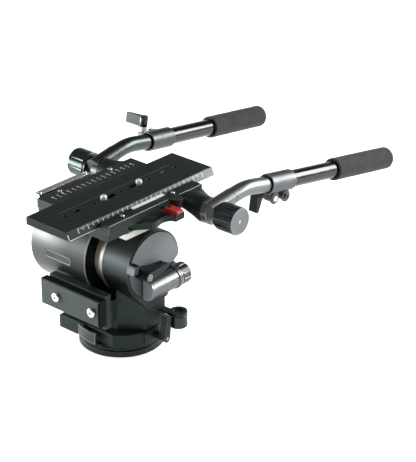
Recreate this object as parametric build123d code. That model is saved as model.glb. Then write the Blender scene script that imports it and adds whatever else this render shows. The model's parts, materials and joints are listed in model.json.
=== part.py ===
from build123d import *
import math
import os

# A fluid video head: a panning base, a two-drum tilt head, a sliding camera plate and two pan handles.
# Frame: origin at the centre of the base's underside, +Z up, +X along the tilt axis towards the
# drag end, -Y towards the lens. All sizes are millimetres and degrees.

# Driving sizes
BASE_R = 64.8
BASE_H = 10.0
TILT_Z = 144.0
SPRING_DRUM_R = 70.0
SPRING_DRUM_X = (-116.0, -4.5)
DRAG_DRUM_R = 54.8
DRAG_DRUM_X = (10.0, 67.7)
PLATE_LENGTH = 305.0
PLATE_WIDTH = 80.6
PLATE_T = 12.0
PLATE_TOP = 246.9
PLATE_CENTRE = (8.8, -3.1)
RAIL_DROP = 5.0
RAIL_TOP = PLATE_TOP - RAIL_DROP
PLATFORM_DROP = 18.9
PLATFORM_T = 11.0
PLATFORM_Z = (PLATE_TOP - PLATFORM_DROP - PLATFORM_T, PLATE_TOP - PLATFORM_DROP)
RAIL_Y = (-95.3, 101.8)
RAIL_OUTER_X = 72.7
HANDLE_NEAR_X = 124.0
HANDLE_FAR_X = -112.0
HANDLE_X = {1: HANDLE_NEAR_X, -1: HANDLE_FAR_X}
HANDLE_SPLAY = 2.1
ROSETTE_RISE = 5.0
ROSETTE_YZ = (72.0, PLATFORM_Z[0] + ROSETTE_RISE)
HANDLE_RISE = 8.0
HANDLE_DROOP = 9.2
CAMERA_THREAD_R = 4.76
ORIGIN = (0.0, 0.0)
TILT = (0.0, TILT_Z)

# Fits and edges
JOINT_GAP = 0.4
RUNNING_FIT = 0.04
SEAT_FIT = 0.03
EDGE = 1.0
SMALL_EDGE = 0.5
OVERRUN = 1.0

# Base and pan bearing
BASE_NECK_STEP = 4.0
BASE_NECK_R = BASE_R - BASE_NECK_STEP
BASE_RING_R = BASE_R - EDGE
BASE_RING_Z = (12.0, 15.0)
BASE_NECK_TOP = 16.6
BASE_RECESS_R = 48.0
BASE_RECESS_H = 2.5
BASE_THREAD_DEPTH = 16.0
SPINDLE_R = 15.0
SPINDLE_TOP = 60.0
SPINDLE_NUT_R = 20.0
SPINDLE_NUT_H = 5.0
BEARING_R = 24.0
PAN_BEARING_Z = ((24.0, 32.0), (48.0, 56.0))

# Pan housing
HOUSING_R = 66.0
HOUSING_Z = (17.0, 38.0)
HOUSING_FLAT_CUT = 10.0
HOUSING_FLAT_Y = HOUSING_FLAT_CUT - HOUSING_R
HOUSING_LUG_OUT = 6.0
HOUSING_LUG_WIDTH = 52.0
HOUSING_LUG_X = (-HOUSING_R - HOUSING_LUG_OUT, HOUSING_LUG_WIDTH - HOUSING_R - HOUSING_LUG_OUT)
HOUSING_LUG_SHARES = (-0.909, 0.788)
HOUSING_LUG_Y = tuple(share * HOUSING_R for share in HOUSING_LUG_SHARES)
TRIM_T = 2.0
TRIM_ANGLES = (-119.0, -81.0)
TRIM_INSET = 1.5
LOCK_PAD_DEPTH = 16.0
LOCK_PAD_PROUD = 0.8
LOCK_PAD_X = (HOUSING_R - LOCK_PAD_DEPTH, HOUSING_R + LOCK_PAD_PROUD)
LOCK_PAD_Y = (-19.0, 13.0)
LOCK_PAD_Z = (20.0, 36.0)
COLUMN_X = (-30.0, 62.0)
COLUMN_Y = (-37.5, 30.0)
COLUMN_CHAMFER = (34.5, 27.5)
WEDGE_LEAN = 50.0
WEDGE_CORNER = (-10.0, 74.0)
WEDGE_REAR_Z = 84.0
PEDESTAL_X = (-HOUSING_R, -4.9)
PEDESTAL_Y = (-48.0, 48.0)
PEDESTAL_TOP = 112.0
DRUM_WALL = 5.0

# Front box
BOX_X = (-77.0, 46.0)
BOX_Y = (-92.5, -77.0)
BOX_Z = (67.7, 109.9)
BOX_BOLT_X = (-44.0, 29.5)
BOX_BOLT_Z = 90.0
BOX_BOLT_R = 5.0
BOX_BOLT_HEAD = 4.5
BOX_BOLT_SHANK_R = 4.0
BOX_BOLT_SOCKET_R = 2.8
BOX_BOLT_SOCKET_H = 2.5
HEX_COUNT = 6
BRACKET_X = (-72.0, 42.0)
BRACKET_Y = (BOX_Y[1], -64.0)
BRACKET_Z = (58.0, 113.0)

# Drums
DRUM_BORE_R = SPRING_DRUM_R - DRUM_WALL
CAP_T = 3.0
BADGE_X = (-87.0, -34.0)
BADGE_Z = (134.0, 148.0)
BADGE_DEPTH = 1.2
SPRING_PACK_R = 50.0
SPRING_PACK_W = 34.0
SPRING_PACK_GAP = 6.0
SPRING_PACK_COUNT = 2
COVER_X = (57.0, 60.0)
END_FACE_R = 52.0
END_FACE_T = 1.8
END_REACH_SHARE = 2.0
END_REACH = END_REACH_SHARE * END_FACE_R
END_LINE_SHARES = (
    (-2.0, 0.39), (-0.81, 0.39), (-0.76, 0.24), (-0.25, 0.137), (0.28, 0.07), (0.54, -0.13),
    (0.79, -0.154), (1.04, 0.03), (2.0, 0.7),
)
REAR_POINT_COUNT = 3
END_POCKET_Z = 129.0
SECTOR_SLOPE_SHARES = (-1.0, 0.13)
END_LUG_LENGTH = 13.3
END_LUG_Z = (151.4, 163.8)
END_LUG_DEPTH = 8.0
ROTOR_R = 44.0
ROTOR_T = 3.0
ROTOR_GAP = 2.4
ROTOR_COUNT = 3
STATOR_R = (24.0, 49.4)

# Tilt hub
SHAFT_R = 12.0
SHAFT_X = (-104.0, 54.0)
YOKE_X = (-3.8, 9.3)
YOKE_R = 40.0
RING_R = 50.0
ARM_HALF = 30.0
TILT_BEARING_R = 20.0

# Platform
PLATFORM_X = (-70.0, 70.0)
PAD_TOP = PLATE_TOP - PLATE_T - JOINT_GAP
NOTCH_X = 55.0
NOTCH_Y = (-53.0, 36.0)
BLOCK_X = (9.3, 72.0)
BLOCK_Y = (-60.0, 34.0)
BLOCK_T = 9.0
BLOCK_BOTTOM = PLATFORM_Z[0] - BLOCK_T
LOCK_PIN_R = 3.0
RAIL_EAR_SHARES = ((0.0, -0.13), (0.06, 0.05), (0.43, 0.09), (0.81, 0.22), (1.0, 0.34))
RAIL_EAR_CORNER_SHARES = ((1.0, 0.52), (0.9, 0.72))
RAIL_EAR_REACH = 14.6
RAIL_EAR_Y = (30.0, 51.6)
RAIL_EAR_T = 5.5
RAIL_EAR_RISE = 2.0
RAIL_EAR_LOW = PLATFORM_Z[1] + RAIL_EAR_RISE
RAIL_EAR_INSET = 2.0
BEVEL_W = 6.0
BEVEL_H = 11.5
SIDE_BAR_X = (-93.0, -82.0)
SIDE_BAR_Y = (-82.0, 23.0)
SIDE_BAR_RISE = 1.0
SIDE_BAR_H = 22.0
SIDE_BAR_Z = (PLATFORM_Z[0] + SIDE_BAR_RISE, PLATFORM_Z[0] + SIDE_BAR_RISE + SIDE_BAR_H)
SCREW_R = 3.4
SCREW_HEAD = 2.2
SCREW_EDGE = 0.8
RAIL_SCREW_Y = (-57.0, 49.0)
RAIL_SCREW_X = (-65.0, 62.0)
BAR_SCREW_Y = (-76.0, 17.2)
VIAL_X = (52.6, 58.4)
VIAL_Y = (-30.0, 36.0)
VIAL_STAND = 1.1
VIAL_TOP = RAIL_TOP + VIAL_STAND

# Camera plate openings
HOLE_R = 3.2
HOLE_OFFSETS = (-114.0, -57.0, 0.0, 57.0, 114.0)
SHORT_SLOT_OFFSETS = (-91.0, 91.0)
SHORT_SLOT_LENGTH = 14.0
LONG_SLOT_CENTRE = 28.0
LONG_SLOT_LENGTH = 29.0
CAMERA_SCREW_OFFSET = 37.0
CAMERA_SCREW_RISE = 6.0
CAMERA_NECK_R = 4.2
CAMERA_HEAD_R = 9.0
CAMERA_HEAD_H = 4.0

# Levers and knobs
LOCK_PIVOT = (63.5, -42.0)
LOCK_T = 9.4
LOCK_Z = (PLATFORM_Z[0] + JOINT_GAP, PLATFORM_Z[0] + JOINT_GAP + LOCK_T)
LOCK_REACH = 78.5
LOCK_OUTER_SHARES = ((0.313, 0.245), (0.316, 0.395), (0.281, 0.573), (0.319, 0.702), (0.431, 0.76))
LOCK_INNER_SHARES = ((0.312, 0.975), (0.263, 0.84), (0.2, 0.73), (0.178, 0.59), (0.172, 0.35), (0.165, 0.21))
LOCK_END_SHARES = ((0.42, 1.0), (0.33, 1.0))
LOCK_EYE_R = 6.0
LOCK_ROOT_TURN = 45.0
TAB_PIN_RISE = 4.6
TAB_PIN = (82.0, PLATFORM_Z[1] + TAB_PIN_RISE)
TAB_PIN_R = 1.5
TAB_Y = (12.0, 25.4)
TAB_X = (77.4, 106.0)
TAB_BELOW = 2.2
TAB_ABOVE = 4.8
TAB_Z = (TAB_PIN[1] - TAB_BELOW, TAB_PIN[1] + TAB_ABOVE)
TAB_BRACKET_Y = (15.4, 22.0)
TAB_EYE_R = 3.6
TAB_NOSE = 3.2
TAB_NOSE_BACK = 7.0
DRAG_BARREL_YZ = (75.5, 115.0)
DRAG_BARREL_R = 16.5
DRAG_BARREL_Y = (-26.0, 31.0)
DRAG_COLLAR_Y = (31.6, 41.0)
DRAG_GROOVE_W = 1.2
DRAG_GROOVE_DEPTH = 0.9
DRAG_KNOB_Y = (41.4, 57.2)
DRAG_KNOB_R = 16.5
TILT_LOCK_YZ = (-26.0, 139.5)
TILT_LOCK_X = (60.4, 78.0)
TILT_LOCK_HUB_R = 6.0
TILT_LOCK_REACH = 40.0
TILT_LOCK_ROOT_W = 7.0
TILT_LOCK_TIP_W = 3.0
TILT_LOCK_T = 8.0
TILT_LOCK_RISE = 9.8
PAN_LOCK_YZ = (4.5, 27.5)
PAN_LOCK_STAND = 10.8
PAN_LOCK_X = (LOCK_PAD_X[1] + JOINT_GAP, LOCK_PAD_X[1] + JOINT_GAP + PAN_LOCK_STAND)
PAN_LOCK_HUB_R = 6.0
PAN_LOCK_REACH = 35.0
PAN_LOCK_ROOT_W = 6.0
PAN_LOCK_TIP_W = 4.5
PAN_LOCK_T = 12.0
PAN_LOCK_RISE = 80.8
SHANK_R = 4.0
TILT_LOCK_SHANK = 4.0
PAN_LOCK_SHANK = 16.0
DRAG_KNOB_SHANK = 18.0
PAN_KNOB_SHANK = 2.4
PAN_KNOB_XY = (88.0, 31.5)
PAN_KNOB_Z = (39.0, 58.6)
PAN_EYE_TOP = 64.0
PAN_RECESS_SHARE = 0.6
PAN_KNOB_R = 13.5

# Handles
ROSETTE_R = 20.0
NECK_Y = (52.0, 101.8)
NECK_RISE = 0.2
NECK_H = 23.4
NECK_Z = (PLATFORM_Z[0] + NECK_RISE, PLATFORM_Z[0] + NECK_RISE + NECK_H)
NECK_LENGTH = 1.5
NECK_ROUND = 11.0
BOSS_DISC = 6.0
SOCKET_STAND = 1.2
BARREL_R = 19.5
BARREL_GAP = 0.4
SOCKET_R = 12.5
SOCKET_LIFT = 9.5
SOCKET_SPAN = (-14.0, 34.5)
KNOB_LENGTH = 35.0
KNOB_R = 21.0
KNOB_FLUTE_COUNT = 10
KNOB_FLUTE_DEPTH = 2.0
KNOB_FLUTE_SHARE = 0.45
KNOB_DISC_R = 17.0
KNOB_DISC_T = 2.0
KNOB_DISC_PROUD = 0.6
KNOB_SOCKET_R = 2.6
STUD_R = 5.0
STUD_SEAT = 12.0
STUD_COVER = 6.0
BENT_TUBE_R = 12.0
BENT_TUBE_WALL = 1.8
BEND_R = 150.0
COLLAR_R = 15.7
COLLAR_START = 32.0
COLLAR_LENGTH = 53.0
COLLAR_MOUTH = 28.0
COLLAR_MOUTH_R = 13.9
OUTER_TUBE_R = 13.2
TUBE_REACH = 172.0
GRIP_START = 186.5
GRIP_LENGTH = 137.0
GRIP_R = 17.6
GRIP_END_ROUND = 6.0
EAR_AT = (14.0, 39.0)
EAR_DROP = 22.0
EAR_R = 7.2
EAR_HALF = 8.0
EAR_SLIT = 2.0
EAR_SCREW_R = 2.6
EAR_HEAD_R = 3.9
EAR_HEAD_H = 2.0
EAR_STUD = 8.0
COLLAR_ROLL = {1: 0.0, -1: 90.0}
WING_X = (-34.0, -18.0)
WING_LENGTH = 31.0
WING_T = 6.0


# Small builders
def block(x, y, z):
    """A box between two limits on each axis."""
    size = Box(x[1] - x[0], y[1] - y[0], z[1] - z[0])
    return Pos((x[0] + x[1]) / 2, (y[0] + y[1]) / 2, (z[0] + z[1]) / 2) * size


def rod(axis, span, at, radius):
    """A cylinder along X, Y or Z between span[0] and span[1], centred on the other two coordinates."""
    length = span[1] - span[0]
    middle = (span[0] + span[1]) / 2
    if axis == "X":
        return Pos(middle, at[0], at[1]) * Rot(0, 90, 0) * Cylinder(radius, length)
    if axis == "Y":
        return Pos(at[0], middle, at[1]) * Rot(90, 0, 0) * Cylinder(radius, length)
    return Pos(at[0], at[1], middle) * Cylinder(radius, length)


def sleeve(axis, span, at, outer, inner):
    """A ring: a rod with a bore."""
    return rod(axis, span, at, outer) - rod(axis, span, at, inner)


def prism_x(points, x):
    """A polygon of (y, z) points carried along X."""
    return extrude(Plane.YZ.offset(x[0]) * make_face(Polyline(*points, close=True)), x[1] - x[0])


def prism_y(points, y):
    """A polygon of (x, z) points carried along Y."""
    return extrude(Plane.XZ.offset(-y[1]) * make_face(Polyline(*points, close=True)), y[1] - y[0])


def prism_z(points, z):
    """A polygon of (x, y) points carried along Z."""
    return extrude(Plane.XY.offset(z[0]) * make_face(Polyline(*points, close=True)), z[1] - z[0])


def slot_cut(x, y, length, width, z):
    """A round-ended cutter along Y."""
    straight = length - width
    cutter = block((x - width / 2, x + width / 2), (y - straight / 2, y + straight / 2), z)
    for end in (-straight / 2, straight / 2):
        cutter += rod("Z", z, (x, y + end), width / 2)
    return cutter


# Base
def base_disc():
    disc = rod("Z", (0, BASE_H), ORIGIN, BASE_R)
    disc = chamfer(disc.edges().filter_by(GeomType.CIRCLE), EDGE)
    disc += rod("Z", (BASE_H, BASE_RING_Z[0]), ORIGIN, BASE_NECK_R)
    disc -= sleeve("Z", (0, BASE_RECESS_H), ORIGIN, BASE_RECESS_R, BEARING_R)
    return disc - rod("Z", (0, BASE_THREAD_DEPTH), ORIGIN, CAMERA_THREAD_R)


def base_ring():
    ring = rod("Z", BASE_RING_Z, ORIGIN, BASE_RING_R)
    ring += rod("Z", (BASE_RING_Z[1], BASE_NECK_TOP), ORIGIN, BASE_NECK_R)
    return ring - rod("Z", (BASE_RING_Z[0], BASE_NECK_TOP), ORIGIN, SPINDLE_R + SEAT_FIT)


def pan_spindle():
    spindle = rod("Z", (BASE_RING_Z[0], SPINDLE_TOP), ORIGIN, SPINDLE_R)
    spindle += rod("Z", (SPINDLE_TOP, SPINDLE_TOP + SPINDLE_NUT_H), ORIGIN, SPINDLE_NUT_R)
    return spindle - rod("Z", (BASE_RING_Z[0], BASE_THREAD_DEPTH), ORIGIN, CAMERA_THREAD_R)


def pan_bearings():
    return Compound([
        sleeve("Z", span, ORIGIN, BEARING_R - SEAT_FIT, SPINDLE_R + RUNNING_FIT) for span in PAN_BEARING_Z
    ])


# Pan body
def pan_cavity():
    """The space the spindle, its nut and its two bearings stand in."""
    return rod("Z", (HOUSING_Z[0], SPINDLE_TOP + SPINDLE_NUT_H + EDGE), ORIGIN, BEARING_R)


def lock_shank(fit):
    """The pan lock's shank, or with a fit the hole it turns in."""
    return rod("X", (PAN_LOCK_X[0] - PAN_LOCK_SHANK, PAN_LOCK_X[0]), PAN_LOCK_YZ, SHANK_R + fit)


def ring_housing():
    ring = rod("Z", HOUSING_Z, ORIGIN, HOUSING_R)
    ring -= block((-HOUSING_R, HOUSING_R), (-HOUSING_R - OVERRUN, HOUSING_FLAT_Y), HOUSING_Z)
    ring += block(HOUSING_LUG_X, HOUSING_LUG_Y, HOUSING_Z)
    ring = chamfer(ring.faces().sort_by(Axis.Z)[-1].edges(), EDGE)
    ring += block(LOCK_PAD_X, LOCK_PAD_Y, LOCK_PAD_Z)
    return ring - pan_cavity() - lock_shank(RUNNING_FIT)


def ring_trim_pad():
    """A shallow curved pad standing proud on the front of the ring housing."""
    inner = HOUSING_R + SEAT_FIT
    pad = rod("Z", (HOUSING_Z[0] + TRIM_INSET, HOUSING_Z[1] - TRIM_INSET), ORIGIN, inner + TRIM_T)
    pad -= rod("Z", HOUSING_Z, ORIGIN, inner - TRIM_T)
    reach = 2 * HOUSING_R
    wedge = [(0.0, 0.0)]
    for angle in TRIM_ANGLES:
        wedge.append((reach * math.cos(math.radians(angle)), reach * math.sin(math.radians(angle))))
    pad &= prism_z(wedge, HOUSING_Z)
    pad -= block(HOUSING_LUG_X, (HOUSING_LUG_Y[0] - SEAT_FIT, 0), HOUSING_Z)
    return pad - block((-HOUSING_R, HOUSING_R), (HOUSING_FLAT_Y - SEAT_FIT, 0), HOUSING_Z)


def column_plan():
    """Plan of the column, with its front right corner cut back."""
    return [
        (COLUMN_X[0], COLUMN_Y[0]), (COLUMN_X[1] - COLUMN_CHAMFER[0], COLUMN_Y[0]),
        (COLUMN_X[1], COLUMN_Y[0] + COLUMN_CHAMFER[1]), (COLUMN_X[1], COLUMN_Y[1]),
        (COLUMN_X[0], COLUMN_Y[1]),
    ]


def drum_wedge():
    """The drum's lower body: planes tangent to the drum that lean in to the column, front and rear."""
    lean = math.radians(WEDGE_LEAN)
    touch_y = DRAG_DRUM_R * math.sin(lean)
    touch_z = TILT_Z - DRAG_DRUM_R * math.cos(lean)
    foot_z = WEDGE_CORNER[1]
    outline = [
        (-touch_y, touch_z), (WEDGE_CORNER[0], foot_z), (COLUMN_Y[1], WEDGE_REAR_Z),
        (touch_y, touch_z), (0, TILT_Z),
    ]
    return prism_x(outline, DRAG_DRUM_X)


def end_lug():
    """A stop in front of the tilt lock: a strip of the drum's own surface carried past its end."""
    x = (DRAG_DRUM_X[1], DRAG_DRUM_X[1] + END_LUG_LENGTH)
    strip = sleeve("X", x, TILT, DRAG_DRUM_R, DRAG_DRUM_R - END_LUG_DEPTH)
    return strip & block(x, (-DRAG_DRUM_R, 0), END_LUG_Z)


def knob_room():
    """The space the tilt drag knob and its collar turn in."""
    return rod("Y", (DRAG_COLLAR_Y[0], DRAG_KNOB_Y[1]), DRAG_BARREL_YZ, DRAG_KNOB_R + JOINT_GAP)


def main_casting():
    casting = prism_z(column_plan(), (HOUSING_Z[1], PEDESTAL_TOP))
    casting += drum_wedge()
    casting += rod("X", DRAG_DRUM_X, TILT, DRAG_DRUM_R)
    casting += end_lug()
    casting += block(PEDESTAL_X, PEDESTAL_Y, (HOUSING_Z[1], PEDESTAL_TOP))
    casting += block(BRACKET_X, BRACKET_Y, BRACKET_Z)
    link_x = (PEDESTAL_X[0], COLUMN_X[1] - COLUMN_CHAMFER[0])
    casting += block(link_x, (BRACKET_Y[0], 0), (BRACKET_Z[0], BOX_BOLT_Z))
    # the left drum's saddle, the tilt hub's slot, the drag chamber and the pan cavity
    casting -= rod("X", (SPRING_DRUM_X[0], DRAG_DRUM_X[0]), TILT, SPRING_DRUM_R + SEAT_FIT)
    chamber_x = (DRAG_DRUM_X[0] + DRUM_WALL, DRAG_DRUM_X[1])
    casting -= rod("X", chamber_x, TILT, STATOR_R[1] + SEAT_FIT)
    casting -= rod("X", (DRAG_DRUM_X[0], chamber_x[0]), TILT, TILT_BEARING_R)
    casting -= pan_cavity()
    casting -= knob_room()
    rear = end_line()[-REAR_POINT_COUNT:]
    rear_gap = [*rear, (rear[-1][0], END_POCKET_Z), (rear[0][0], END_POCKET_Z)]
    casting -= prism_x(rear_gap, (COVER_X[0], DRAG_DRUM_X[1]))
    for x in BOX_BOLT_X:
        casting -= rod("Y", BRACKET_Y, (x, BOX_BOLT_Z), BOX_BOLT_SHANK_R)
    return casting


def front_box():
    box = block(BOX_X, BOX_Y, BOX_Z)
    box = chamfer(box.faces().sort_by(Axis.Y)[0].edges(), EDGE)
    for x in BOX_BOLT_X:
        box -= rod("Y", BOX_Y, (x, BOX_BOLT_Z), BOX_BOLT_SHANK_R + SEAT_FIT)
    return box


def front_bolts():
    bolts = []
    for x in BOX_BOLT_X:
        head = rod("Y", (BOX_Y[0] - BOX_BOLT_HEAD, BOX_Y[0]), (x, BOX_BOLT_Z), BOX_BOLT_R)
        head = chamfer(head.faces().sort_by(Axis.Y)[0].edges(), EDGE)
        hexagon = Plane(origin=(x, BOX_Y[0] - BOX_BOLT_HEAD, BOX_BOLT_Z), z_dir=(0, 1, 0))
        head -= extrude(hexagon * RegularPolygon(BOX_BOLT_SOCKET_R, HEX_COUNT), BOX_BOLT_SOCKET_H)
        bolt = head + rod("Y", (BOX_Y[0], BRACKET_Y[1]), (x, BOX_BOLT_Z), BOX_BOLT_SHANK_R - SEAT_FIT)
        bolts.append(bolt)
    return Compound(bolts)


def spring_drum():
    """The larger drum: an open shell with one wall towards the tilt hub and a bare badge recess."""
    shell = rod("X", SPRING_DRUM_X, TILT, SPRING_DRUM_R)
    shell = chamfer(shell.edges().filter_by(GeomType.CIRCLE), EDGE)
    shell -= rod("X", (SPRING_DRUM_X[0], SPRING_DRUM_X[1] - DRUM_WALL), TILT, DRUM_BORE_R)
    shell -= rod("X", (SPRING_DRUM_X[1] - DRUM_WALL, SPRING_DRUM_X[1]), TILT, TILT_BEARING_R)
    face_y = -SPRING_DRUM_R
    return shell - block(BADGE_X, (face_y, face_y + BADGE_DEPTH), BADGE_Z)


def spring_drum_cap():
    cap = rod("X", (SPRING_DRUM_X[0] - CAP_T, SPRING_DRUM_X[0]), TILT, SPRING_DRUM_R - EDGE)
    cap = chamfer(cap.faces().sort_by(Axis.X)[0].edges(), EDGE)
    return cap + rod("X", (SPRING_DRUM_X[0], SPRING_DRUM_X[0] + CAP_T), TILT, DRUM_BORE_R - SEAT_FIT)


def spring_packs():
    packs = []
    for index in range(SPRING_PACK_COUNT):
        start = SPRING_DRUM_X[0] + 2 * CAP_T + index * (SPRING_PACK_W + SPRING_PACK_GAP)
        span = (start, start + SPRING_PACK_W)
        packs.append(sleeve("X", span, TILT, DRUM_BORE_R - SEAT_FIT, SPRING_PACK_R))
    return Compound(packs)


def tilt_bearings():
    """One bearing ring in each drum's inner wall, carrying the tilt shaft."""
    left = (SPRING_DRUM_X[1] - DRUM_WALL, SPRING_DRUM_X[1])
    right = (DRAG_DRUM_X[0], DRAG_DRUM_X[0] + DRUM_WALL)
    outer = TILT_BEARING_R - SEAT_FIT
    return Compound([sleeve("X", span, TILT, outer, SHAFT_R + RUNNING_FIT) for span in (left, right)])


def end_line():
    """The end face's lower boundary, over the tilt lock's pocket, as (y, z) points."""
    return [(y * END_FACE_R, TILT_Z + z * END_FACE_R) for y, z in END_LINE_SHARES]


def end_plug(x_out, radius):
    """A disc that fills the drum's open end and may stand proud of it."""
    plug = rod("X", (COVER_X[1], DRAG_DRUM_X[1]), TILT, STATOR_R[1])
    return plug + rod("X", (DRAG_DRUM_X[1], x_out), TILT, radius)


def drag_end_cap():
    """The pale end face, above the broken line over the lever and the drag barrel."""
    x = (COVER_X[1], DRAG_DRUM_X[1] + END_FACE_T)
    top = TILT_Z + END_REACH
    line = end_line()
    upper = [(line[0][0], top), *line, (line[-1][0], top)]
    return end_plug(x[1], END_FACE_R) & prism_x(upper, x)


def drag_end_sector():
    """The dark lower end face: a sector that slopes up the front side, and a seat behind the drag barrel."""
    x = (COVER_X[1], DRAG_DRUM_X[1] + SMALL_EDGE)
    low = TILT_Z - END_REACH
    seat_y = DRAG_BARREL_Y[0] - JOINT_GAP
    slope_y, slope_z = (share * END_FACE_R for share in SECTOR_SLOPE_SHARES)
    outline = [
        (-END_REACH, low), (END_REACH, low), (END_REACH, END_POCKET_Z), (seat_y, END_POCKET_Z),
        (slope_y, TILT_Z + slope_z), (-END_REACH, TILT_Z + slope_z),
    ]
    sector = end_plug(x[1], STATOR_R[1]) & prism_x(outline, x)
    sector -= block((DRAG_DRUM_X[1], x[1]), (seat_y, END_REACH), (low, END_POCKET_Z))
    return sector - knob_room()


def drag_cover():
    """The inner cover that closes the drag chamber at the bottom of the lever pocket."""
    cover = rod("X", COVER_X, TILT, STATOR_R[1])
    return cover - rod("X", COVER_X, TILT_LOCK_YZ, SHANK_R + RUNNING_FIT) - knob_room()


def drag_stators():
    rings = []
    for index in range(ROTOR_COUNT - 1):
        start = stack_x(index) + ROTOR_T + ROTOR_GAP
        rings.append(sleeve("X", (start, start + ROTOR_T), TILT, STATOR_R[1], STATOR_R[0]))
    return Compound(rings)


def stack_x(index):
    """Where rotor number index starts along X."""
    pitch = 2 * (ROTOR_T + ROTOR_GAP)
    return DRAG_DRUM_X[0] + DRUM_WALL + 2 * ROTOR_T + index * pitch


def tilt_drag_barrel():
    x, z = DRAG_BARREL_YZ
    barrel = rod("Y", DRAG_BARREL_Y, (x, z), DRAG_BARREL_R)
    barrel = chamfer(barrel.faces().sort_by(Axis.Y)[0].edges(), SMALL_EDGE)
    barrel += rod("Y", (DRAG_BARREL_Y[1], DRAG_COLLAR_Y[0]), (x, z), DRAG_BARREL_R - EDGE)
    barrel += rod("Y", DRAG_COLLAR_Y, (x, z), DRAG_BARREL_R - SMALL_EDGE)
    groove_y = sum(DRAG_COLLAR_Y) / 2
    groove = (groove_y - DRAG_GROOVE_W / 2, groove_y + DRAG_GROOVE_W / 2)
    barrel -= sleeve("Y", groove, (x, z), DRAG_BARREL_R, DRAG_BARREL_R - SMALL_EDGE - DRAG_GROOVE_DEPTH)
    barrel -= block((0, DRAG_DRUM_X[1] + SEAT_FIT), (-DRAG_DRUM_R, DRAG_DRUM_R), (0, TILT_Z))
    bore_y = (DRAG_COLLAR_Y[1] - DRAG_KNOB_SHANK - JOINT_GAP, DRAG_COLLAR_Y[1])
    return barrel - rod("Y", bore_y, (x, z), SHANK_R + RUNNING_FIT)


def pan_knob_bracket():
    """A short arm from the column to an eye that the pan drag knob hangs under."""
    x, y = PAN_KNOB_XY
    eye_z = (PAN_KNOB_Z[1] + JOINT_GAP, PAN_EYE_TOP)
    arm_z = (eye_z[0], PAN_EYE_TOP - EDGE)
    bracket = block((COLUMN_X[1], x), (y - PAN_KNOB_R, COLUMN_Y[1]), arm_z)
    bracket += rod("Z", eye_z, (x, y), PAN_KNOB_R)
    bore_z = (eye_z[0], eye_z[0] + PAN_KNOB_SHANK)
    bracket -= rod("Z", bore_z, (x, y), SHANK_R + RUNNING_FIT)
    return bracket - rod("Z", (PAN_EYE_TOP - 2 * EDGE, PAN_EYE_TOP), (x, y), PAN_KNOB_R * PAN_RECESS_SHARE)


# Tilt body
def tilt_shaft():
    return rod("X", SHAFT_X, TILT, SHAFT_R)


def arm_block(side_gap):
    """The upright arm between the drums, from the hub to the platform."""
    half = ARM_HALF + side_gap
    return block(YOKE_X, (-half, half), (TILT_Z, PLATFORM_Z[0]))


def tilt_yoke():
    """The tilting hub in the gap between the drums: a disc with an arm up to the platform."""
    return rod("X", YOKE_X, TILT, YOKE_R) + arm_block(0) - rod("X", YOKE_X, TILT, SHAFT_R + SEAT_FIT)


def tilt_ring():
    """The bare metal rim of the hub, open where the arm passes."""
    ring = sleeve("X", YOKE_X, TILT, RING_R, YOKE_R + SEAT_FIT)
    ring = chamfer(ring.edges().filter_by(GeomType.CIRCLE).group_by(SortBy.RADIUS)[-1], SMALL_EDGE)
    return ring - arm_block(SEAT_FIT)


def drag_rotors():
    discs = []
    for index in range(ROTOR_COUNT):
        start = stack_x(index)
        discs.append(sleeve("X", (start, start + ROTOR_T), TILT, ROTOR_R, SHAFT_R + SEAT_FIT))
    return Compound(discs)


def tilt_platform():
    plate = block(PLATFORM_X, RAIL_Y, PLATFORM_Z)
    plate -= block((NOTCH_X, PLATFORM_X[1]), NOTCH_Y, PLATFORM_Z)
    pad_x = (rail_inner(-1, PAD_TOP), rail_inner(1, PLATFORM_Z[1]))
    plate += block(pad_x, RAIL_Y, (PLATFORM_Z[1], PAD_TOP))
    link_x = (SIDE_BAR_X[0], PLATFORM_X[0])
    return plate + block(link_x, SIDE_BAR_Y, (PLATFORM_Z[0], SIDE_BAR_Z[0]))


def platform_block():
    """The lock block under the platform, with the pin that the plate lock lever turns on."""
    pin = rod("Z", (PLATFORM_Z[0], PLATFORM_Z[1]), LOCK_PIVOT, LOCK_PIN_R)
    return block(BLOCK_X, BLOCK_Y, (BLOCK_BOTTOM, PLATFORM_Z[0])) + pin


def plate_edge(side, height):
    """X of the camera plate's side at a height: plumb on the far side, bevelled on the near side."""
    edge = PLATE_CENTRE[0] + side * PLATE_WIDTH / 2
    if side < 0:
        return edge
    drop = min(PLATE_TOP - height, BEVEL_H)
    return edge + drop * BEVEL_W / BEVEL_H


def rail_inner(side, height):
    """X of a rail's guiding face at a height."""
    return plate_edge(side, height) + side * JOINT_GAP


def rail(side):
    """A guide rail beside the camera plate, the near one overhanging its bevel."""
    outer = side * RAIL_OUTER_X
    low = PLATE_TOP - BEVEL_H
    profile = [
        (outer, PLATFORM_Z[1]), (outer, RAIL_TOP), (rail_inner(side, RAIL_TOP), RAIL_TOP),
        (rail_inner(side, low), low), (rail_inner(side, low), PLATFORM_Z[1]),
    ]
    return prism_y(profile, RAIL_Y)


def rail_ear(inset, z):
    """The near rail's rounded ear over the red tab, in from its outline by an inset."""
    x, length = RAIL_OUTER_X, RAIL_EAR_Y[1] - RAIL_EAR_Y[0]
    reach = RAIL_EAR_REACH - inset
    front = RAIL_EAR_Y[0] + inset
    outline = [(x + a * reach, front + b * length) for a, b in RAIL_EAR_SHARES + RAIL_EAR_CORNER_SHARES]
    return prism_z([*outline, (x, RAIL_EAR_Y[1])], z)


def near_rail():
    """The near rail with its ear, and under the ear the block that the tab shuts against."""
    ear_low = RAIL_TOP - RAIL_EAR_T
    ear = rail_ear(0, (ear_low, RAIL_TOP)) + rail_ear(RAIL_EAR_INSET, (RAIL_EAR_LOW, ear_low))
    return rail(1) + ear


def far_rail():
    return rail(-1)


def side_bar():
    return block(SIDE_BAR_X, SIDE_BAR_Y, SIDE_BAR_Z)


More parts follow.
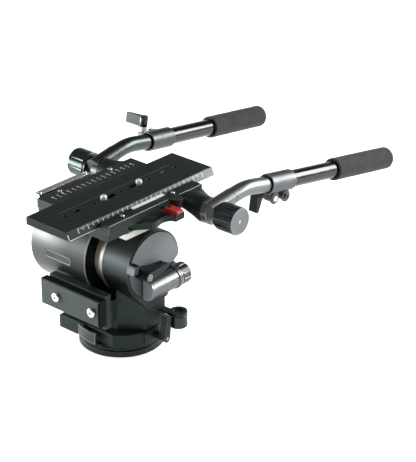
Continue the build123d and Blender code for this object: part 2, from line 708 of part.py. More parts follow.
def dome_screw(x, y, z):
    """A low screw head standing on a surface, with a short hex socket."""
    head = rod("Z", (z, z + SCREW_HEAD), (x, y), SCREW_R)
    head = chamfer(head.faces().sort_by(Axis.Z)[-1].edges(), SCREW_EDGE)
    socket = extrude(Pos(x, y, z + SCREW_HEAD / 2) * RegularPolygon(SCREW_R / 2, HEX_COUNT), SCREW_HEAD)
    return head - socket


def rail_screws():
    screws = [dome_screw(x, y, RAIL_TOP) for x in RAIL_SCREW_X for y in RAIL_SCREW_Y]
    bar_x = sum(SIDE_BAR_X) / 2
    screws += [dome_screw(bar_x, y, SIDE_BAR_Z[1]) for y in BAR_SCREW_Y]
    return Compound(screws)


def level_strip():
    return block(VIAL_X, VIAL_Y, (RAIL_TOP, VIAL_TOP))


def tab_bracket():
    x, z = TAB_PIN
    bracket = block((RAIL_OUTER_X, x), TAB_BRACKET_Y, (TAB_Z[0], TAB_Z[1] - EDGE))
    bracket += rod("Y", TAB_BRACKET_Y, (x, z), TAB_EYE_R)
    return bracket + rod("Y", (TAB_Y[0], TAB_Y[1]), (x, z), TAB_PIN_R)


def boss_face(side):
    """X of the rosette face that a handle's barrel seats against."""
    return HANDLE_X[side] - side * (SOCKET_R + SOCKET_STAND)


def boss(side):
    """A flared boss: a flat neck off the platform's side, drawn out to the round rosette face."""
    root_x = side * RAIL_OUTER_X
    neck_x = root_x + side * NECK_LENGTH
    disc_x = boss_face(side) - side * BOSS_DISC
    face_dir = Vector(side, 0, 0)
    neck_mid = (sum(NECK_Y) / 2, sum(NECK_Z) / 2)
    root = Plane(origin=(neck_x, *neck_mid), x_dir=(0, 1, 0), z_dir=face_dir)
    face = Plane(origin=(disc_x, *ROSETTE_YZ), x_dir=(0, 1, 0), z_dir=face_dir)
    outline = RectangleRounded(NECK_Y[1] - NECK_Y[0], NECK_Z[1] - NECK_Z[0], NECK_ROUND)
    neck = extrude(root * outline, -NECK_LENGTH)
    flare = loft([root * outline, face * Circle(ROSETTE_R)])
    disc_span = sorted((disc_x, boss_face(side)))
    stud_span = sorted((boss_face(side) - side * STUD_SEAT, boss_face(side)))
    body = neck + flare + rod("X", disc_span, ROSETTE_YZ, ROSETTE_R)
    return body - rod("X", stud_span, ROSETTE_YZ, STUD_R)


def rosette_bosses():
    return Compound([boss(1), boss(-1)])


def knob_span(side):
    """X limits of a handle's clamp knob, inner end first."""
    inner = HANDLE_X[side] + side * (SOCKET_R + SOCKET_STAND)
    return (inner, inner + side * KNOB_LENGTH)


def rosette_studs():
    studs = []
    for side in (1, -1):
        tip = knob_span(side)[1] - side * STUD_COVER
        span = sorted((boss_face(side) - side * STUD_SEAT, tip))
        studs.append(rod("X", span, ROSETTE_YZ, STUD_R - RUNNING_FIT))
    return Compound(studs)


# Camera plate
def camera_plate():
    x, y = PLATE_CENTRE
    bottom = PLATE_TOP - PLATE_T
    low = PLATE_TOP - BEVEL_H
    profile = [
        (plate_edge(-1, PLATE_TOP), PLATE_TOP), (plate_edge(1, PLATE_TOP), PLATE_TOP),
        (plate_edge(1, low), low), (plate_edge(1, low), bottom), (plate_edge(-1, bottom), bottom),
    ]
    plate = prism_y(profile, (y - PLATE_LENGTH / 2, y + PLATE_LENGTH / 2))
    through = (bottom, PLATE_TOP)
    for offset in HOLE_OFFSETS:
        plate -= rod("Z", through, (x, y + offset), HOLE_R)
    for offset in SHORT_SLOT_OFFSETS:
        plate -= slot_cut(x, y + offset, SHORT_SLOT_LENGTH, 2 * HOLE_R, through)
    for sign in (-1, 1):
        middle = y + sign * LONG_SLOT_CENTRE
        width = 2 * (CAMERA_THREAD_R + JOINT_GAP)
        plate -= slot_cut(x, middle, LONG_SLOT_LENGTH, width, through)
        head_length = LONG_SLOT_LENGTH + 2 * (CAMERA_HEAD_R - CAMERA_THREAD_R)
        head_width = 2 * (CAMERA_HEAD_R + JOINT_GAP)
        head_room = (bottom, bottom + CAMERA_HEAD_H + 2 * JOINT_GAP)
        plate -= slot_cut(x, middle, head_length, head_width, head_room)
    return plate


def camera_screw(sign):
    """A captive camera screw: a wide head under the plate, an undercut neck and a short threaded end."""
    x, y = PLATE_CENTRE
    at = (x, y + sign * CAMERA_SCREW_OFFSET)
    bottom = PLATE_TOP - PLATE_T + JOINT_GAP
    tip = PLATE_TOP + CAMERA_SCREW_RISE
    screw = rod("Z", (PLATE_TOP + JOINT_GAP, tip), at, CAMERA_THREAD_R)
    screw = fillet(screw.faces().sort_by(Axis.Z)[-1].edges(), CAMERA_THREAD_R / 2)
    screw += rod("Z", (bottom, PLATE_TOP + JOINT_GAP), at, CAMERA_NECK_R)
    return screw + rod("Z", (bottom, bottom + CAMERA_HEAD_H), at, CAMERA_HEAD_R)


def front_camera_screw():
    return camera_screw(-1)


def rear_camera_screw():
    return camera_screw(1)


# Levers and knobs
def plate_lock_lever():
    """A swept lever lying under the near rail: a round eye, a straight root and an S-curved finger."""
    x, y = LOCK_PIVOT
    outer = [(x + a * LOCK_REACH, y + b * LOCK_REACH) for a, b in LOCK_OUTER_SHARES]
    inner = [(x + a * LOCK_REACH, y + b * LOCK_REACH) for a, b in LOCK_INNER_SHARES]
    end = [(x + a * LOCK_REACH, y + b * LOCK_REACH) for a, b in LOCK_END_SHARES]
    tangent = math.radians(LOCK_ROOT_TURN)
    off = (LOCK_EYE_R * math.sin(tangent), -LOCK_EYE_R * math.cos(tangent))
    root = Polyline(inner[-1], (x - off[0], y - off[1]), (x + off[0], y + off[1]), outer[0])
    tip = Polyline(outer[-1], *end, inner[0])
    plan = make_face(Wire([*Spline(*outer).edges(), *tip.edges(), *Spline(*inner).edges(), *root.edges()]))
    lever = extrude(Plane.XY.offset(LOCK_Z[0]) * plan, LOCK_Z[1] - LOCK_Z[0])
    lever += rod("Z", LOCK_Z, LOCK_PIVOT, LOCK_EYE_R)
    return lever - rod("Z", LOCK_Z, LOCK_PIVOT, LOCK_PIN_R + RUNNING_FIT)


def safety_tab():
    x, z = TAB_PIN
    tip_z = TAB_Z[1] - TAB_NOSE
    outline = [
        (x, TAB_Z[0]), (TAB_X[1] - TAB_NOSE_BACK, TAB_Z[0]), (TAB_X[1], tip_z),
        (TAB_X[1] - TAB_NOSE, TAB_Z[1]), (x, TAB_Z[1]),
    ]
    tab = prism_y(outline, TAB_Y)
    tab += rod("Y", TAB_Y, (x, z), x - TAB_X[0])
    reach = x - TAB_X[0] + JOINT_GAP
    gap_y = (TAB_BRACKET_Y[0] - JOINT_GAP, TAB_BRACKET_Y[1] + JOINT_GAP)
    tab -= block((TAB_X[0] - OVERRUN, x + reach), gap_y, (z - reach - OVERRUN, z + reach + OVERRUN))
    return tab - rod("Y", TAB_Y, (x, z), TAB_PIN_R + RUNNING_FIT)


def blade(width_root, width_tip, reach, thickness):
    """A tapered lever blade along local +X, its root round about the local origin."""
    outline = [(0, width_root), (reach, width_tip), (reach, -width_tip), (0, -width_root)]
    solid = extrude(make_face(Polyline(*outline, close=True)), thickness)
    return solid + Pos(0, 0, thickness / 2) * Cylinder(width_root, thickness)


def lever_frame(x, at, rise):
    """A frame on a lever's hub: local X along the blade, local Z outwards along the hub's axis."""
    angle = math.radians(rise)
    return Plane(origin=(x, *at), x_dir=(0, math.cos(angle), math.sin(angle)), z_dir=(1, 0, 0))


def tilt_lock_lever():
    """The tilt lock: a shank in the drag cover, a hub and a tapered blade lying along the barrel."""
    lever = rod("X", TILT_LOCK_X, TILT_LOCK_YZ, TILT_LOCK_HUB_R)
    lever += rod("X", (TILT_LOCK_X[0] - TILT_LOCK_SHANK, TILT_LOCK_X[0]), TILT_LOCK_YZ, SHANK_R)
    frame = lever_frame(TILT_LOCK_X[1], TILT_LOCK_YZ, TILT_LOCK_RISE)
    return lever + frame * blade(TILT_LOCK_ROOT_W, TILT_LOCK_TIP_W, TILT_LOCK_REACH, TILT_LOCK_T)


def pan_lock_lever():
    """The pan lock: a shank in the ring housing, a hub and a thick upright blade."""
    lever = rod("X", PAN_LOCK_X, PAN_LOCK_YZ, PAN_LOCK_HUB_R) + lock_shank(0)
    frame = lever_frame(PAN_LOCK_X[1], PAN_LOCK_YZ, PAN_LOCK_RISE)
    return lever + frame * blade(PAN_LOCK_ROOT_W, PAN_LOCK_TIP_W, PAN_LOCK_REACH, PAN_LOCK_T)


def fluted_knob(length, radius, flutes, depth):
    """A knob along local +Z with round-bottomed flutes around its rim."""
    knob = Pos(0, 0, length / 2) * Cylinder(radius, length)
    knob = chamfer(knob.faces().sort_by(Axis.Z)[-1].edges(), EDGE)
    flute_r = radius * math.sin(math.pi / flutes) * KNOB_FLUTE_SHARE
    for index in range(flutes):
        angle = 360 * index / flutes
        cutter = Pos(radius + flute_r - depth, 0, length / 2 + EDGE) * Cylinder(flute_r, length)
        knob -= Rot(0, 0, angle) * cutter
    return knob


def tilt_drag_knob():
    x, z = DRAG_BARREL_YZ
    frame = Plane(origin=(x, DRAG_KNOB_Y[0], z), x_dir=(1, 0, 0), z_dir=(0, 1, 0))
    knob = frame * fluted_knob(DRAG_KNOB_Y[1] - DRAG_KNOB_Y[0], DRAG_KNOB_R, KNOB_FLUTE_COUNT, EDGE)
    return knob + rod("Y", (DRAG_KNOB_Y[0] - DRAG_KNOB_SHANK, DRAG_KNOB_Y[0]), (x, z), SHANK_R)


def pan_drag_knob():
    x, y = PAN_KNOB_XY
    knob = rod("Z", PAN_KNOB_Z, (x, y), PAN_KNOB_R)
    knob = chamfer(knob.edges().filter_by(GeomType.CIRCLE), EDGE)
    return knob + rod("Z", (PAN_KNOB_Z[1], PAN_KNOB_Z[1] + PAN_KNOB_SHANK), (x, y), SHANK_R)


# Handles
def heading(side, angle):
    """Unit vector of a tube: splayed outwards from +Y and angled above the level."""
    splay, rise = math.radians(HANDLE_SPLAY), math.radians(angle)
    level = math.cos(rise)
    return (side * math.sin(splay) * level, math.cos(splay) * level, math.sin(rise))


def step(point, direction, distance):
    return tuple(p + d * distance for p, d in zip(point, direction))


def tube_from(point, direction, span, radius):
    """A cylinder along a direction, between two distances from a point."""
    plane = Plane(origin=step(point, direction, span[0]), z_dir=direction)
    length = span[1] - span[0]
    return plane * (Pos(0, 0, length / 2) * Cylinder(radius, length))


def socket_origin(side):
    return (HANDLE_X[side], ROSETTE_YZ[0], ROSETTE_YZ[1] + SOCKET_LIFT)


def seam_point(side):
    return step(socket_origin(side), heading(side, HANDLE_RISE), SOCKET_SPAN[1])


def bend_end(side):
    """Where the bent tube's arc ends and its straight part begins."""
    up, down = math.radians(HANDLE_RISE), math.radians(HANDLE_DROOP)
    level = step(seam_point(side), heading(side, 0), BEND_R * (math.sin(up) + math.sin(down)))
    return step(level, (0, 0, 1), BEND_R * (math.cos(down) - math.cos(up)))


def straight(side, span, radius):
    """A cylinder on the handle's straight axis, measured from the end of the bend."""
    return tube_from(bend_end(side), heading(side, -HANDLE_DROOP), span, radius)


def t_joint(side):
    """The elbow: a socket for the bent tube with a rosette barrel on its inner side."""
    barrel_span = sorted((boss_face(side) + side * BARREL_GAP, HANDLE_X[side]))
    barrel = rod("X", barrel_span, ROSETTE_YZ, BARREL_R)
    barrel = chamfer(barrel.edges().filter_by(GeomType.CIRCLE), EDGE)
    socket = tube_from(socket_origin(side), heading(side, HANDLE_RISE), SOCKET_SPAN, SOCKET_R)
    stud_span = sorted((boss_face(side), knob_span(side)[0]))
    return barrel + socket - rod("X", stud_span, ROSETTE_YZ, STUD_R + RUNNING_FIT)


def bent_tube(side):
    """The elbow's tube: an arc, then a straight part that the outer tube slides on."""
    start = seam_point(side)
    direction = heading(side, HANDLE_RISE)
    path = TangentArc(start, bend_end(side), tangent=direction)
    arc = sweep(Plane(origin=start, z_dir=direction) * Circle(BENT_TUBE_R), path)
    tube = arc + straight(side, (0, TUBE_REACH), BENT_TUBE_R)
    return tube - straight(side, (BENT_TUBE_R, TUBE_REACH), BENT_TUBE_R - BENT_TUBE_WALL)


def collar_frame(side):
    """The collar's own frame: Z along the tube, Y towards its clamp ears."""
    direction = heading(side, -HANDLE_DROOP)
    origin = step(bend_end(side), direction, COLLAR_START)
    across = (math.cos(math.radians(HANDLE_SPLAY)), -side * math.sin(math.radians(HANDLE_SPLAY)), 0)
    return Plane(origin=origin, x_dir=across, z_dir=direction) * Rot(0, 0, COLLAR_ROLL[side])


def tube_collar(side):
    """The outer tube's clamp collar: an open mouth round the bent tube and two slit ears."""
    collar = Pos(0, 0, COLLAR_LENGTH / 2) * Cylinder(COLLAR_R, COLLAR_LENGTH)
    collar = chamfer(collar.edges().filter_by(GeomType.CIRCLE), EDGE)
    for z in EAR_AT:
        ear = block((-EAR_HALF, EAR_HALF), (0, EAR_DROP), (z - EAR_R, z + EAR_R))
        ear += rod("X", (-EAR_HALF, EAR_HALF), (EAR_DROP, z), EAR_R)
        collar += ear - rod("X", (-EAR_HALF, EAR_HALF), (EAR_DROP, z), EAR_SCREW_R + SEAT_FIT)
    collar -= block((-EAR_SLIT / 2, EAR_SLIT / 2), (0, EAR_DROP + 2 * EAR_R), (0, COLLAR_LENGTH))
    collar -= Pos(0, 0, COLLAR_MOUTH / 2) * Cylinder(COLLAR_MOUTH_R, COLLAR_MOUTH)
    collar -= Pos(0, 0, COLLAR_LENGTH / 2) * Cylinder(OUTER_TUBE_R + SEAT_FIT, COLLAR_LENGTH)
    return collar_frame(side) * collar


def ear_screws(side):
    """The two clamp screws through the collar's ears; the first runs on into the wing lever."""
    screws = []
    for z in EAR_AT:
        inner = -EAR_HALF - EAR_STUD if z == EAR_AT[0] else -EAR_HALF
        screw = rod("X", (inner, EAR_HALF), (EAR_DROP, z), EAR_SCREW_R)
        screw += rod("X", (EAR_HALF, EAR_HALF + EAR_HEAD_H), (EAR_DROP, z), EAR_HEAD_R)
        screws.append(collar_frame(side) * screw)
    return Compound(screws)


def clamp_lever(side):
    """The collar's wing lever: a hub on the ear's axis with a flat wing hanging from it."""
    z = EAR_AT[0]
    lever = rod("X", (WING_X[0], -EAR_HALF - JOINT_GAP), (EAR_DROP, z), EAR_R - EDGE)
    tip_y = EAR_DROP + WING_LENGTH
    outline = [
        (EAR_DROP, z - EAR_R + EDGE), (tip_y, z - WING_T), (tip_y, z - EDGE), (EAR_DROP, z + EAR_R - EDGE),
    ]
    lever += prism_x(outline, WING_X)
    stud_span = (-EAR_HALF - EAR_STUD - JOINT_GAP, -EAR_HALF)
    return collar_frame(side) * (lever - rod("X", stud_span, (EAR_DROP, z), EAR_SCREW_R + RUNNING_FIT))


def outer_tube(side):
    span = (COLLAR_START + COLLAR_MOUTH, GRIP_START + GRIP_LENGTH - GRIP_END_ROUND)
    return straight(side, span, OUTER_TUBE_R) - straight(side, span, BENT_TUBE_R + RUNNING_FIT)


def grip(side):
    span = (GRIP_START, GRIP_START + GRIP_LENGTH)
    foam = straight(side, span, GRIP_R)
    ends = foam.faces().filter_by(GeomType.PLANE).sort_by(Axis.Y)
    foam = fillet(ends[-1].edges(), GRIP_END_ROUND)
    return foam - straight(side, (span[0], span[1] - GRIP_END_ROUND), OUTER_TUBE_R)


def clamp_knob(side):
    inner, outer = knob_span(side)
    frame = Plane(origin=(inner, *ROSETTE_YZ), x_dir=(0, 1, 0), z_dir=(side, 0, 0))
    knob = frame * fluted_knob(KNOB_LENGTH, KNOB_R, KNOB_FLUTE_COUNT, KNOB_FLUTE_DEPTH)
    knob -= rod("X", sorted((outer - side * KNOB_DISC_T, outer)), ROSETTE_YZ, KNOB_DISC_R + SEAT_FIT)
    stud_end = outer - side * (STUD_COVER - JOINT_GAP)
    return knob - rod("X", sorted((inner, stud_end)), ROSETTE_YZ, STUD_R + RUNNING_FIT)


def knob_disc(side):
    """The metal disc let into a clamp knob's outer end, with a hex socket."""
    outer = knob_span(side)[1]
    face = outer + side * KNOB_DISC_PROUD
    disc = rod("X", sorted((outer - side * KNOB_DISC_T, face)), ROSETTE_YZ, KNOB_DISC_R)
    hexagon = Plane(origin=(face, *ROSETTE_YZ), z_dir=(-side, 0, 0)) * RegularPolygon(KNOB_SOCKET_R, HEX_COUNT)
    return disc - extrude(hexagon, KNOB_DISC_T)


# Export
SIDES = {"near": 1, "far": -1}
PAIRED = (
    t_joint, bent_tube, tube_collar, ear_screws, outer_tube, grip, clamp_knob, knob_disc, clamp_lever,
)
SINGLE = (
    base_disc, base_ring, pan_spindle, pan_bearings, ring_housing, ring_trim_pad, main_casting,
    front_box, front_bolts, spring_drum, spring_drum_cap, spring_packs, tilt_bearings, drag_end_cap,
    drag_end_sector, drag_cover, drag_stators, tilt_drag_barrel, pan_knob_bracket, tilt_shaft, tilt_yoke,
    tilt_ring, drag_rotors, tilt_platform, platform_block, near_rail, far_rail, side_bar, rail_screws,
    level_strip, tab_bracket, rosette_bosses, rosette_studs, camera_plate, front_camera_screw,
    rear_camera_screw, plate_lock_lever, safety_tab, tilt_lock_lever, pan_lock_lever, tilt_drag_knob, pan_drag_knob,
)

os.makedirs("parts", exist_ok=True)
for maker in SINGLE:
    export_step(maker(), f"parts/{maker.__name__}.step")
for maker in PAIRED:
    for name, side in SIDES.items():
        export_step(maker(side), f"parts/{maker.__name__}_{name}.step")
print("wrote", len(SINGLE) + 2 * len(PAIRED), "nodes")
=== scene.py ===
# %% [markdown]
# # Dressing a fluid video head
# The metal parts of this head come from a solid model that is already packed. This lesson loads it,
# sets the camera and the light, gives every part the finish of the real one, and adds the small
# things that a solid model leaves out: scales, screws, a level, foam, bare and worn edges, and pale
# edge lines that are painted highlights.

# %% Load the solid parts
import bpy
import bmesh
import json
import math
from mathutils import Matrix, Vector, noise


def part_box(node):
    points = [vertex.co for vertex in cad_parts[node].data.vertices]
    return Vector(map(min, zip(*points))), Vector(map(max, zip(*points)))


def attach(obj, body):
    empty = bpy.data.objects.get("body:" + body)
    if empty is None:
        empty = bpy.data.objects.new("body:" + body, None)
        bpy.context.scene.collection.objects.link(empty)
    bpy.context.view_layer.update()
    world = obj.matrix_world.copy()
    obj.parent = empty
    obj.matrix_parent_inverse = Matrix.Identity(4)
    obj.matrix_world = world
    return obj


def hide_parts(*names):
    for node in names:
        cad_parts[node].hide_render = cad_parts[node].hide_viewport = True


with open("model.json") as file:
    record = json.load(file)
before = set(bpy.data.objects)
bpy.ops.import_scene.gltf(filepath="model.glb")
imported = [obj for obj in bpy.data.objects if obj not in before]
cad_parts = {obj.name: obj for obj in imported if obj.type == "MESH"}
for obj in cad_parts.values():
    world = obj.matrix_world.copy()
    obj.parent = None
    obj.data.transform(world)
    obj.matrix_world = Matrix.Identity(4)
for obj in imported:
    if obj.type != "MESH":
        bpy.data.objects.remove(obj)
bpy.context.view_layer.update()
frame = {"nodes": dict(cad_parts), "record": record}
MM = 0.001
slot_of = {part["node"]: part["material_slot"] for part in frame["record"]["subparts"]}

# %% [markdown]
# ## The camera
# Two views of one object only match if the camera stands at the same place. The camera looks at the
# head from its front right, from above, through a long lens, so that parallel edges stay nearly
# parallel. Azimuth and elevation give the direction, and the distance and lens set the size.

# %% Place the camera
VIEW_AZIMUTH = math.radians(41.62)
VIEW_ELEVATION = math.radians(25.749)
CAMERA_AT = Vector((1.7683, -1.7936, 1.3915))
FOCAL_PIXELS = 1890.9
PICTURE_HEIGHT = 462
SENSOR = 36.0

towards_camera = Vector((
    math.sin(VIEW_AZIMUTH) * math.cos(VIEW_ELEVATION),
    -math.cos(VIEW_AZIMUTH) * math.cos(VIEW_ELEVATION),
    math.sin(VIEW_ELEVATION),
))
camera_data = bpy.data.cameras.new("camera")
camera_data.sensor_width = SENSOR
camera_data.lens = FOCAL_PIXELS * SENSOR / PICTURE_HEIGHT
camera_data.clip_end = 50.0
camera = bpy.data.objects.new("camera", camera_data)
bpy.context.collection.objects.link(camera)
camera.location = CAMERA_AT
camera.rotation_mode = "QUATERNION"
camera.rotation_quaternion = (-towards_camera).to_track_quat("-Z", "Y")
bpy.context.scene.camera = camera
bpy.context.scene.view_settings.view_transform = "Standard"
print("lens:", round(camera_data.lens, 1), "mm")

# %% [markdown]
# ## The floor and the white surroundings
# The head stands on white paper that sweeps up behind it to a white wall, under a dim ceiling. The
# paper is a plain pale floor, which glows a little for the camera and in reflections, so that it
# reads as white while the shadow under the base stays. The wall and ceiling are the world colour:
# white where the camera looks at it, white near the horizon and dim overhead in reflections, and
# weaker as a source of light, so that the lamps can shape the drums.

# %% Small helpers for shader nodes
def new_material(name):
    """An empty node material and its output node."""
    material = bpy.data.materials.new(name)
    material.use_nodes = True
    material.node_tree.nodes.clear()
    return material, material.node_tree.nodes.new("ShaderNodeOutputMaterial")


def add_node(tree, kind, **settings):
    """A node with some of its settings or unlinked inputs filled in."""
    node = tree.nodes.new("ShaderNode" + kind)
    for key, value in settings.items():
        if key in node.inputs:
            node.inputs[key].default_value = value
        else:
            setattr(node, key, value)
    return node

def fill(tree, socket, value):
    """Link a socket to another one, or set it to a number or a tuple."""
    if isinstance(value, bpy.types.NodeSocket):
        tree.links.new(value, socket)
    else:
        socket.default_value = value


def math_node(tree, operation, *values):
    """The result of a Math node whose inputs are numbers or links."""
    node = add_node(tree, "Math", operation=operation)
    for socket, value in zip(node.inputs, values):
        fill(tree, socket, value)
    return node.outputs[0]


def vector_node(tree, operation, *values):
    """A VectorMath node whose inputs are tuples or links."""
    node = add_node(tree, "VectorMath", operation=operation)
    for socket, value in zip(node.inputs, values):
        fill(tree, socket, value)
    return node


def component(tree, vector, axis):
    """The X, Y or Z of a linked vector."""
    parts = add_node(tree, "SeparateXYZ")
    tree.links.new(vector, parts.inputs[0])
    return parts.outputs[axis]


def map_range(tree, value, start, target=(0.0, 1.0), kind="LINEAR"):
    """A linked value that runs over start, stretched to run over target."""
    node = add_node(tree, "MapRange", interpolation_type=kind)
    for socket, number in zip(("From Min", "From Max", "To Min", "To Max"), start + target):
        node.inputs[socket].default_value = number
    tree.links.new(value, node.inputs["Value"])
    return node.outputs["Result"]


# %% Make the room
ROOM_LIGHT = 0.26
CEILING_LIGHT = 0.12
WALL_TOP = 0.1
CEILING_START = 0.42
WHITE = (1.0, 1.0, 1.0, 1.0)

world = bpy.data.worlds.new("room")
bpy.context.scene.world = world
world.use_nodes = True
tree = world.node_tree
tree.nodes.clear()
path = add_node(tree, "LightPath")
seen = path.outputs["Is Camera Ray"]
height = component(tree, add_node(tree, "TexCoord").outputs["Generated"], "Z")
wall = map_range(tree, height, (WALL_TOP, CEILING_START), (1.0, CEILING_LIGHT), "SMOOTHSTEP")
mirrored = math_node(
    tree, "MAXIMUM", path.outputs["Is Glossy Ray"], path.outputs["Is Transmission Ray"]
)
shown = math_node(tree, "MAXIMUM", math_node(tree, "MULTIPLY", mirrored, wall), seen)
lamp_rays = math_node(tree, "SUBTRACT", 1.0, math_node(tree, "MAXIMUM", mirrored, seen))
room_level = math_node(tree, "ADD", shown, math_node(tree, "MULTIPLY", lamp_rays, ROOM_LIGHT))
room = add_node(tree, "Background", Color=WHITE)
tree.links.new(room_level, room.inputs["Strength"])
tree.links.new(room.outputs[0], add_node(tree, "OutputWorld").inputs["Surface"])
print("room light:", ROOM_LIGHT)

# %% Lay the paper
FLOOR_COLOUR = (0.88, 0.88, 0.88, 1.0)
FLOOR_GLOW = 0.72
FLOOR_HALF = 9.0
FLOOR_DROP = 0.0005

paper, paper_out = new_material("paper_floor")
tree = paper.node_tree
path = add_node(tree, "LightPath")
seen = math_node(tree, "MAXIMUM", path.outputs["Is Camera Ray"], path.outputs["Is Glossy Ray"])
seen = math_node(tree, "MAXIMUM", seen, path.outputs["Is Transmission Ray"])
glow = math_node(tree, "MULTIPLY", seen, FLOOR_GLOW)
paper_shader = add_node(tree, "BsdfPrincipled", Roughness=0.9)
paper_shader.inputs["Specular IOR Level"].default_value = 0.1
paper_shader.inputs["Base Color"].default_value = FLOOR_COLOUR
paper_shader.inputs["Emission Color"].default_value = WHITE
tree.links.new(glow, paper_shader.inputs["Emission Strength"])
tree.links.new(paper_shader.outputs[0], paper_out.inputs["Surface"])

floor_mesh = bpy.data.meshes.new("floor")
corners = ((-1, -1), (1, -1), (1, 1), (-1, 1))
floor_points = [(x * FLOOR_HALF, y * FLOOR_HALF, -FLOOR_DROP) for x, y in corners]
floor_mesh.from_pydata(floor_points, [], [(0, 1, 2, 3)])
floor_mesh.materials.append(paper)
floor = bpy.data.objects.new("floor", floor_mesh)
bpy.context.collection.objects.link(floor)
print("floor glow:", FLOOR_GLOW)

# %% [markdown]
# ## The lamps
# Dark metal shows its shape by what it mirrors. A low, wide panel at the front left makes the broad
# bands along the drums. A large soft box at the back right makes the streaks on the tubes and the
# knobs, and a narrow strip beside it aims at the drag barrel alone. A weak one overhead lifts the
# tops. The power of each comes from its area and the brightness that its mirror image should have.

# %% Hang the soft boxes
LAMPS = {
    "front_left_panel": ((-0.88, -0.52, 0.21), (0.8, 0.32), 17.0),
    "back_right_box": ((0.97, 1.75, 1.02), (1.15, 0.8), 12.0),
    "top_fill": ((-0.3, -0.6, 2.3), (1.3, 1.3), 1.5),
    "barrel_strip": ((1.35, 1.26, 0.70), (0.5, 0.2), 0.42),
}
MIDDLE = Vector((0.02, 0.02, 0.16))
BARREL = Vector((0.08, 0.0, 0.115))
AIM = {"barrel_strip": (BARREL, math.radians(16))}
WATTS_PER_AREA = 4.0

for name, (place, size, brightness) in LAMPS.items():
    target, spread = AIM.get(name, (MIDDLE, math.pi))
    lamp_data = bpy.data.lights.new(name, "AREA")
    lamp_data.shape = "RECTANGLE"
    lamp_data.size, lamp_data.size_y = size
    lamp_data.energy = WATTS_PER_AREA * size[0] * size[1] * brightness
    lamp_data.spread = spread
    lamp = bpy.data.objects.new(name, lamp_data)
    bpy.context.collection.objects.link(lamp)
    lamp.location = place
    lamp.rotation_euler = (target - Vector(place)).to_track_quat("-Z", "Y").to_euler()
    lamp.visible_camera = False
    print(name, "power", round(lamp_data.energy, 1), "W")

# %% [markdown]
# ## Shared effects
# Anodised and painted metal is never one flat colour. Four effects come back in many finishes, so
# each is a node group with its own values in every material: edges that are a little rounded,
# rubbed bare and lit by a painted highlight, a fine blasted grain, long brushed lines, and faint
# cloudy handling marks.

# %% A way to make a node group
def new_group(name, inputs, outputs):
    """A shader node group with named sockets, and its two end nodes."""
    group = bpy.data.node_groups.new(name, "ShaderNodeTree")
    for label, kind, value in inputs:
        kind = "NodeSocket" + kind
        socket = group.interface.new_socket(name=label, in_out="INPUT", socket_type=kind)
        socket.default_value = value
    for label, kind in outputs:
        kind = "NodeSocket" + kind
        group.interface.new_socket(name=label, in_out="OUTPUT", socket_type=kind)
    start = group.nodes.new("NodeGroupInput")
    end = group.nodes.new("NodeGroupOutput")
    return group, start, end


def object_place(tree):
    """The place on the part, in metres, which stays with the part when it moves."""
    return add_node(tree, "TexCoord").outputs["Object"]


# %% [markdown]
# ### Rubbed edges with a painted highlight
# Machined edges catch the light because they are broken by a small chamfer, and the dark skin wears
# off there first. The Bevel node gives the direction that a rounded edge would face. Where it
# differs from the true direction there is an edge, which makes both the highlight and the mask.
# The pale colour laid on the mask is partly wear and partly a painted highlight of the edge.
# Noise breaks the mask up, because no edge wears evenly.

# %% Group: rubbed edges with a painted highlight
EDGE_RADIUS = 0.0006
EDGE_MATCH = (0.99, 0.82)
PATCH_SCALE = 160.0
PATCH_RANGE = (0.35, 0.62)
LEAST_WEAR = 0.45


def make_edge_group():
    """The rounded normal, and a mask of the edges for wear and a painted highlight."""
    group, start, end = new_group(
        "worn_and_highlit_edges",
        [("Radius", "Float", EDGE_RADIUS)], [("Normal", "Vector"), ("Mask", "Float")],
    )
    bevel = add_node(group, "Bevel", samples=4)
    group.links.new(start.outputs["Radius"], bevel.inputs["Radius"])
    rounded = bevel.outputs["Normal"]
    true_side = add_node(group, "NewGeometry").outputs["Normal"]
    match = vector_node(group, "DOT_PRODUCT", rounded, true_side).outputs["Value"]
    mask = map_range(group, match, EDGE_MATCH)
    patches = add_node(group, "TexNoise", Scale=PATCH_SCALE, Detail=3.0)
    group.links.new(object_place(group), patches.inputs["Vector"])
    uneven = map_range(group, patches.outputs["Fac"], PATCH_RANGE, (LEAST_WEAR, 1.0))
    facing = add_node(group, "Mix", data_type="VECTOR")
    for index, value in ((0, mask), (4, true_side), (5, rounded)):
        group.links.new(value, facing.inputs[index])
    group.links.new(facing.outputs[1], end.inputs["Normal"])
    group.links.new(math_node(group, "MULTIPLY", mask, uneven), end.inputs["Mask"])
    return group


worn_and_highlit_edges = make_edge_group()
print("group:", worn_and_highlit_edges.name)

# %% [markdown]
# ### Blasted grain and handling marks
# Bead blasting before anodising leaves a fine even grain. Handling leaves large, faint clouds. Both
# are noise: one very fine, for bump and a little colour, and one coarse, for gloss.

# %% Groups: grain and clouds
GRAIN_SCALE = 900.0


def make_noise_group(name, detail, roughness, span):
    """Noise stretched so that span fills 0..1, with the number of patches a metre as input."""
    group, start, end = new_group(
        name, [("Scale", "Float", GRAIN_SCALE)], [("Value", "Float")],
    )
    cells = add_node(group, "TexNoise", Detail=detail, Roughness=roughness)
    group.links.new(object_place(group), cells.inputs["Vector"])
    group.links.new(start.outputs["Scale"], cells.inputs["Scale"])
    group.links.new(map_range(group, cells.outputs["Fac"], span), end.inputs["Value"])
    return group


blasted_grain = make_noise_group("blasted_grain", 2.0, 0.6, (0.3, 0.7))
handling_clouds = make_noise_group("handling_clouds", 4.0, 0.5, (0.35, 0.65))
print("groups:", blasted_grain.name, handling_clouds.name)

# %% [markdown]
# ### Brushed lines
# Bare aluminium here was ground along its length. The lines are noise squeezed across the grinding
# direction: many changes a metre across it and few along it.

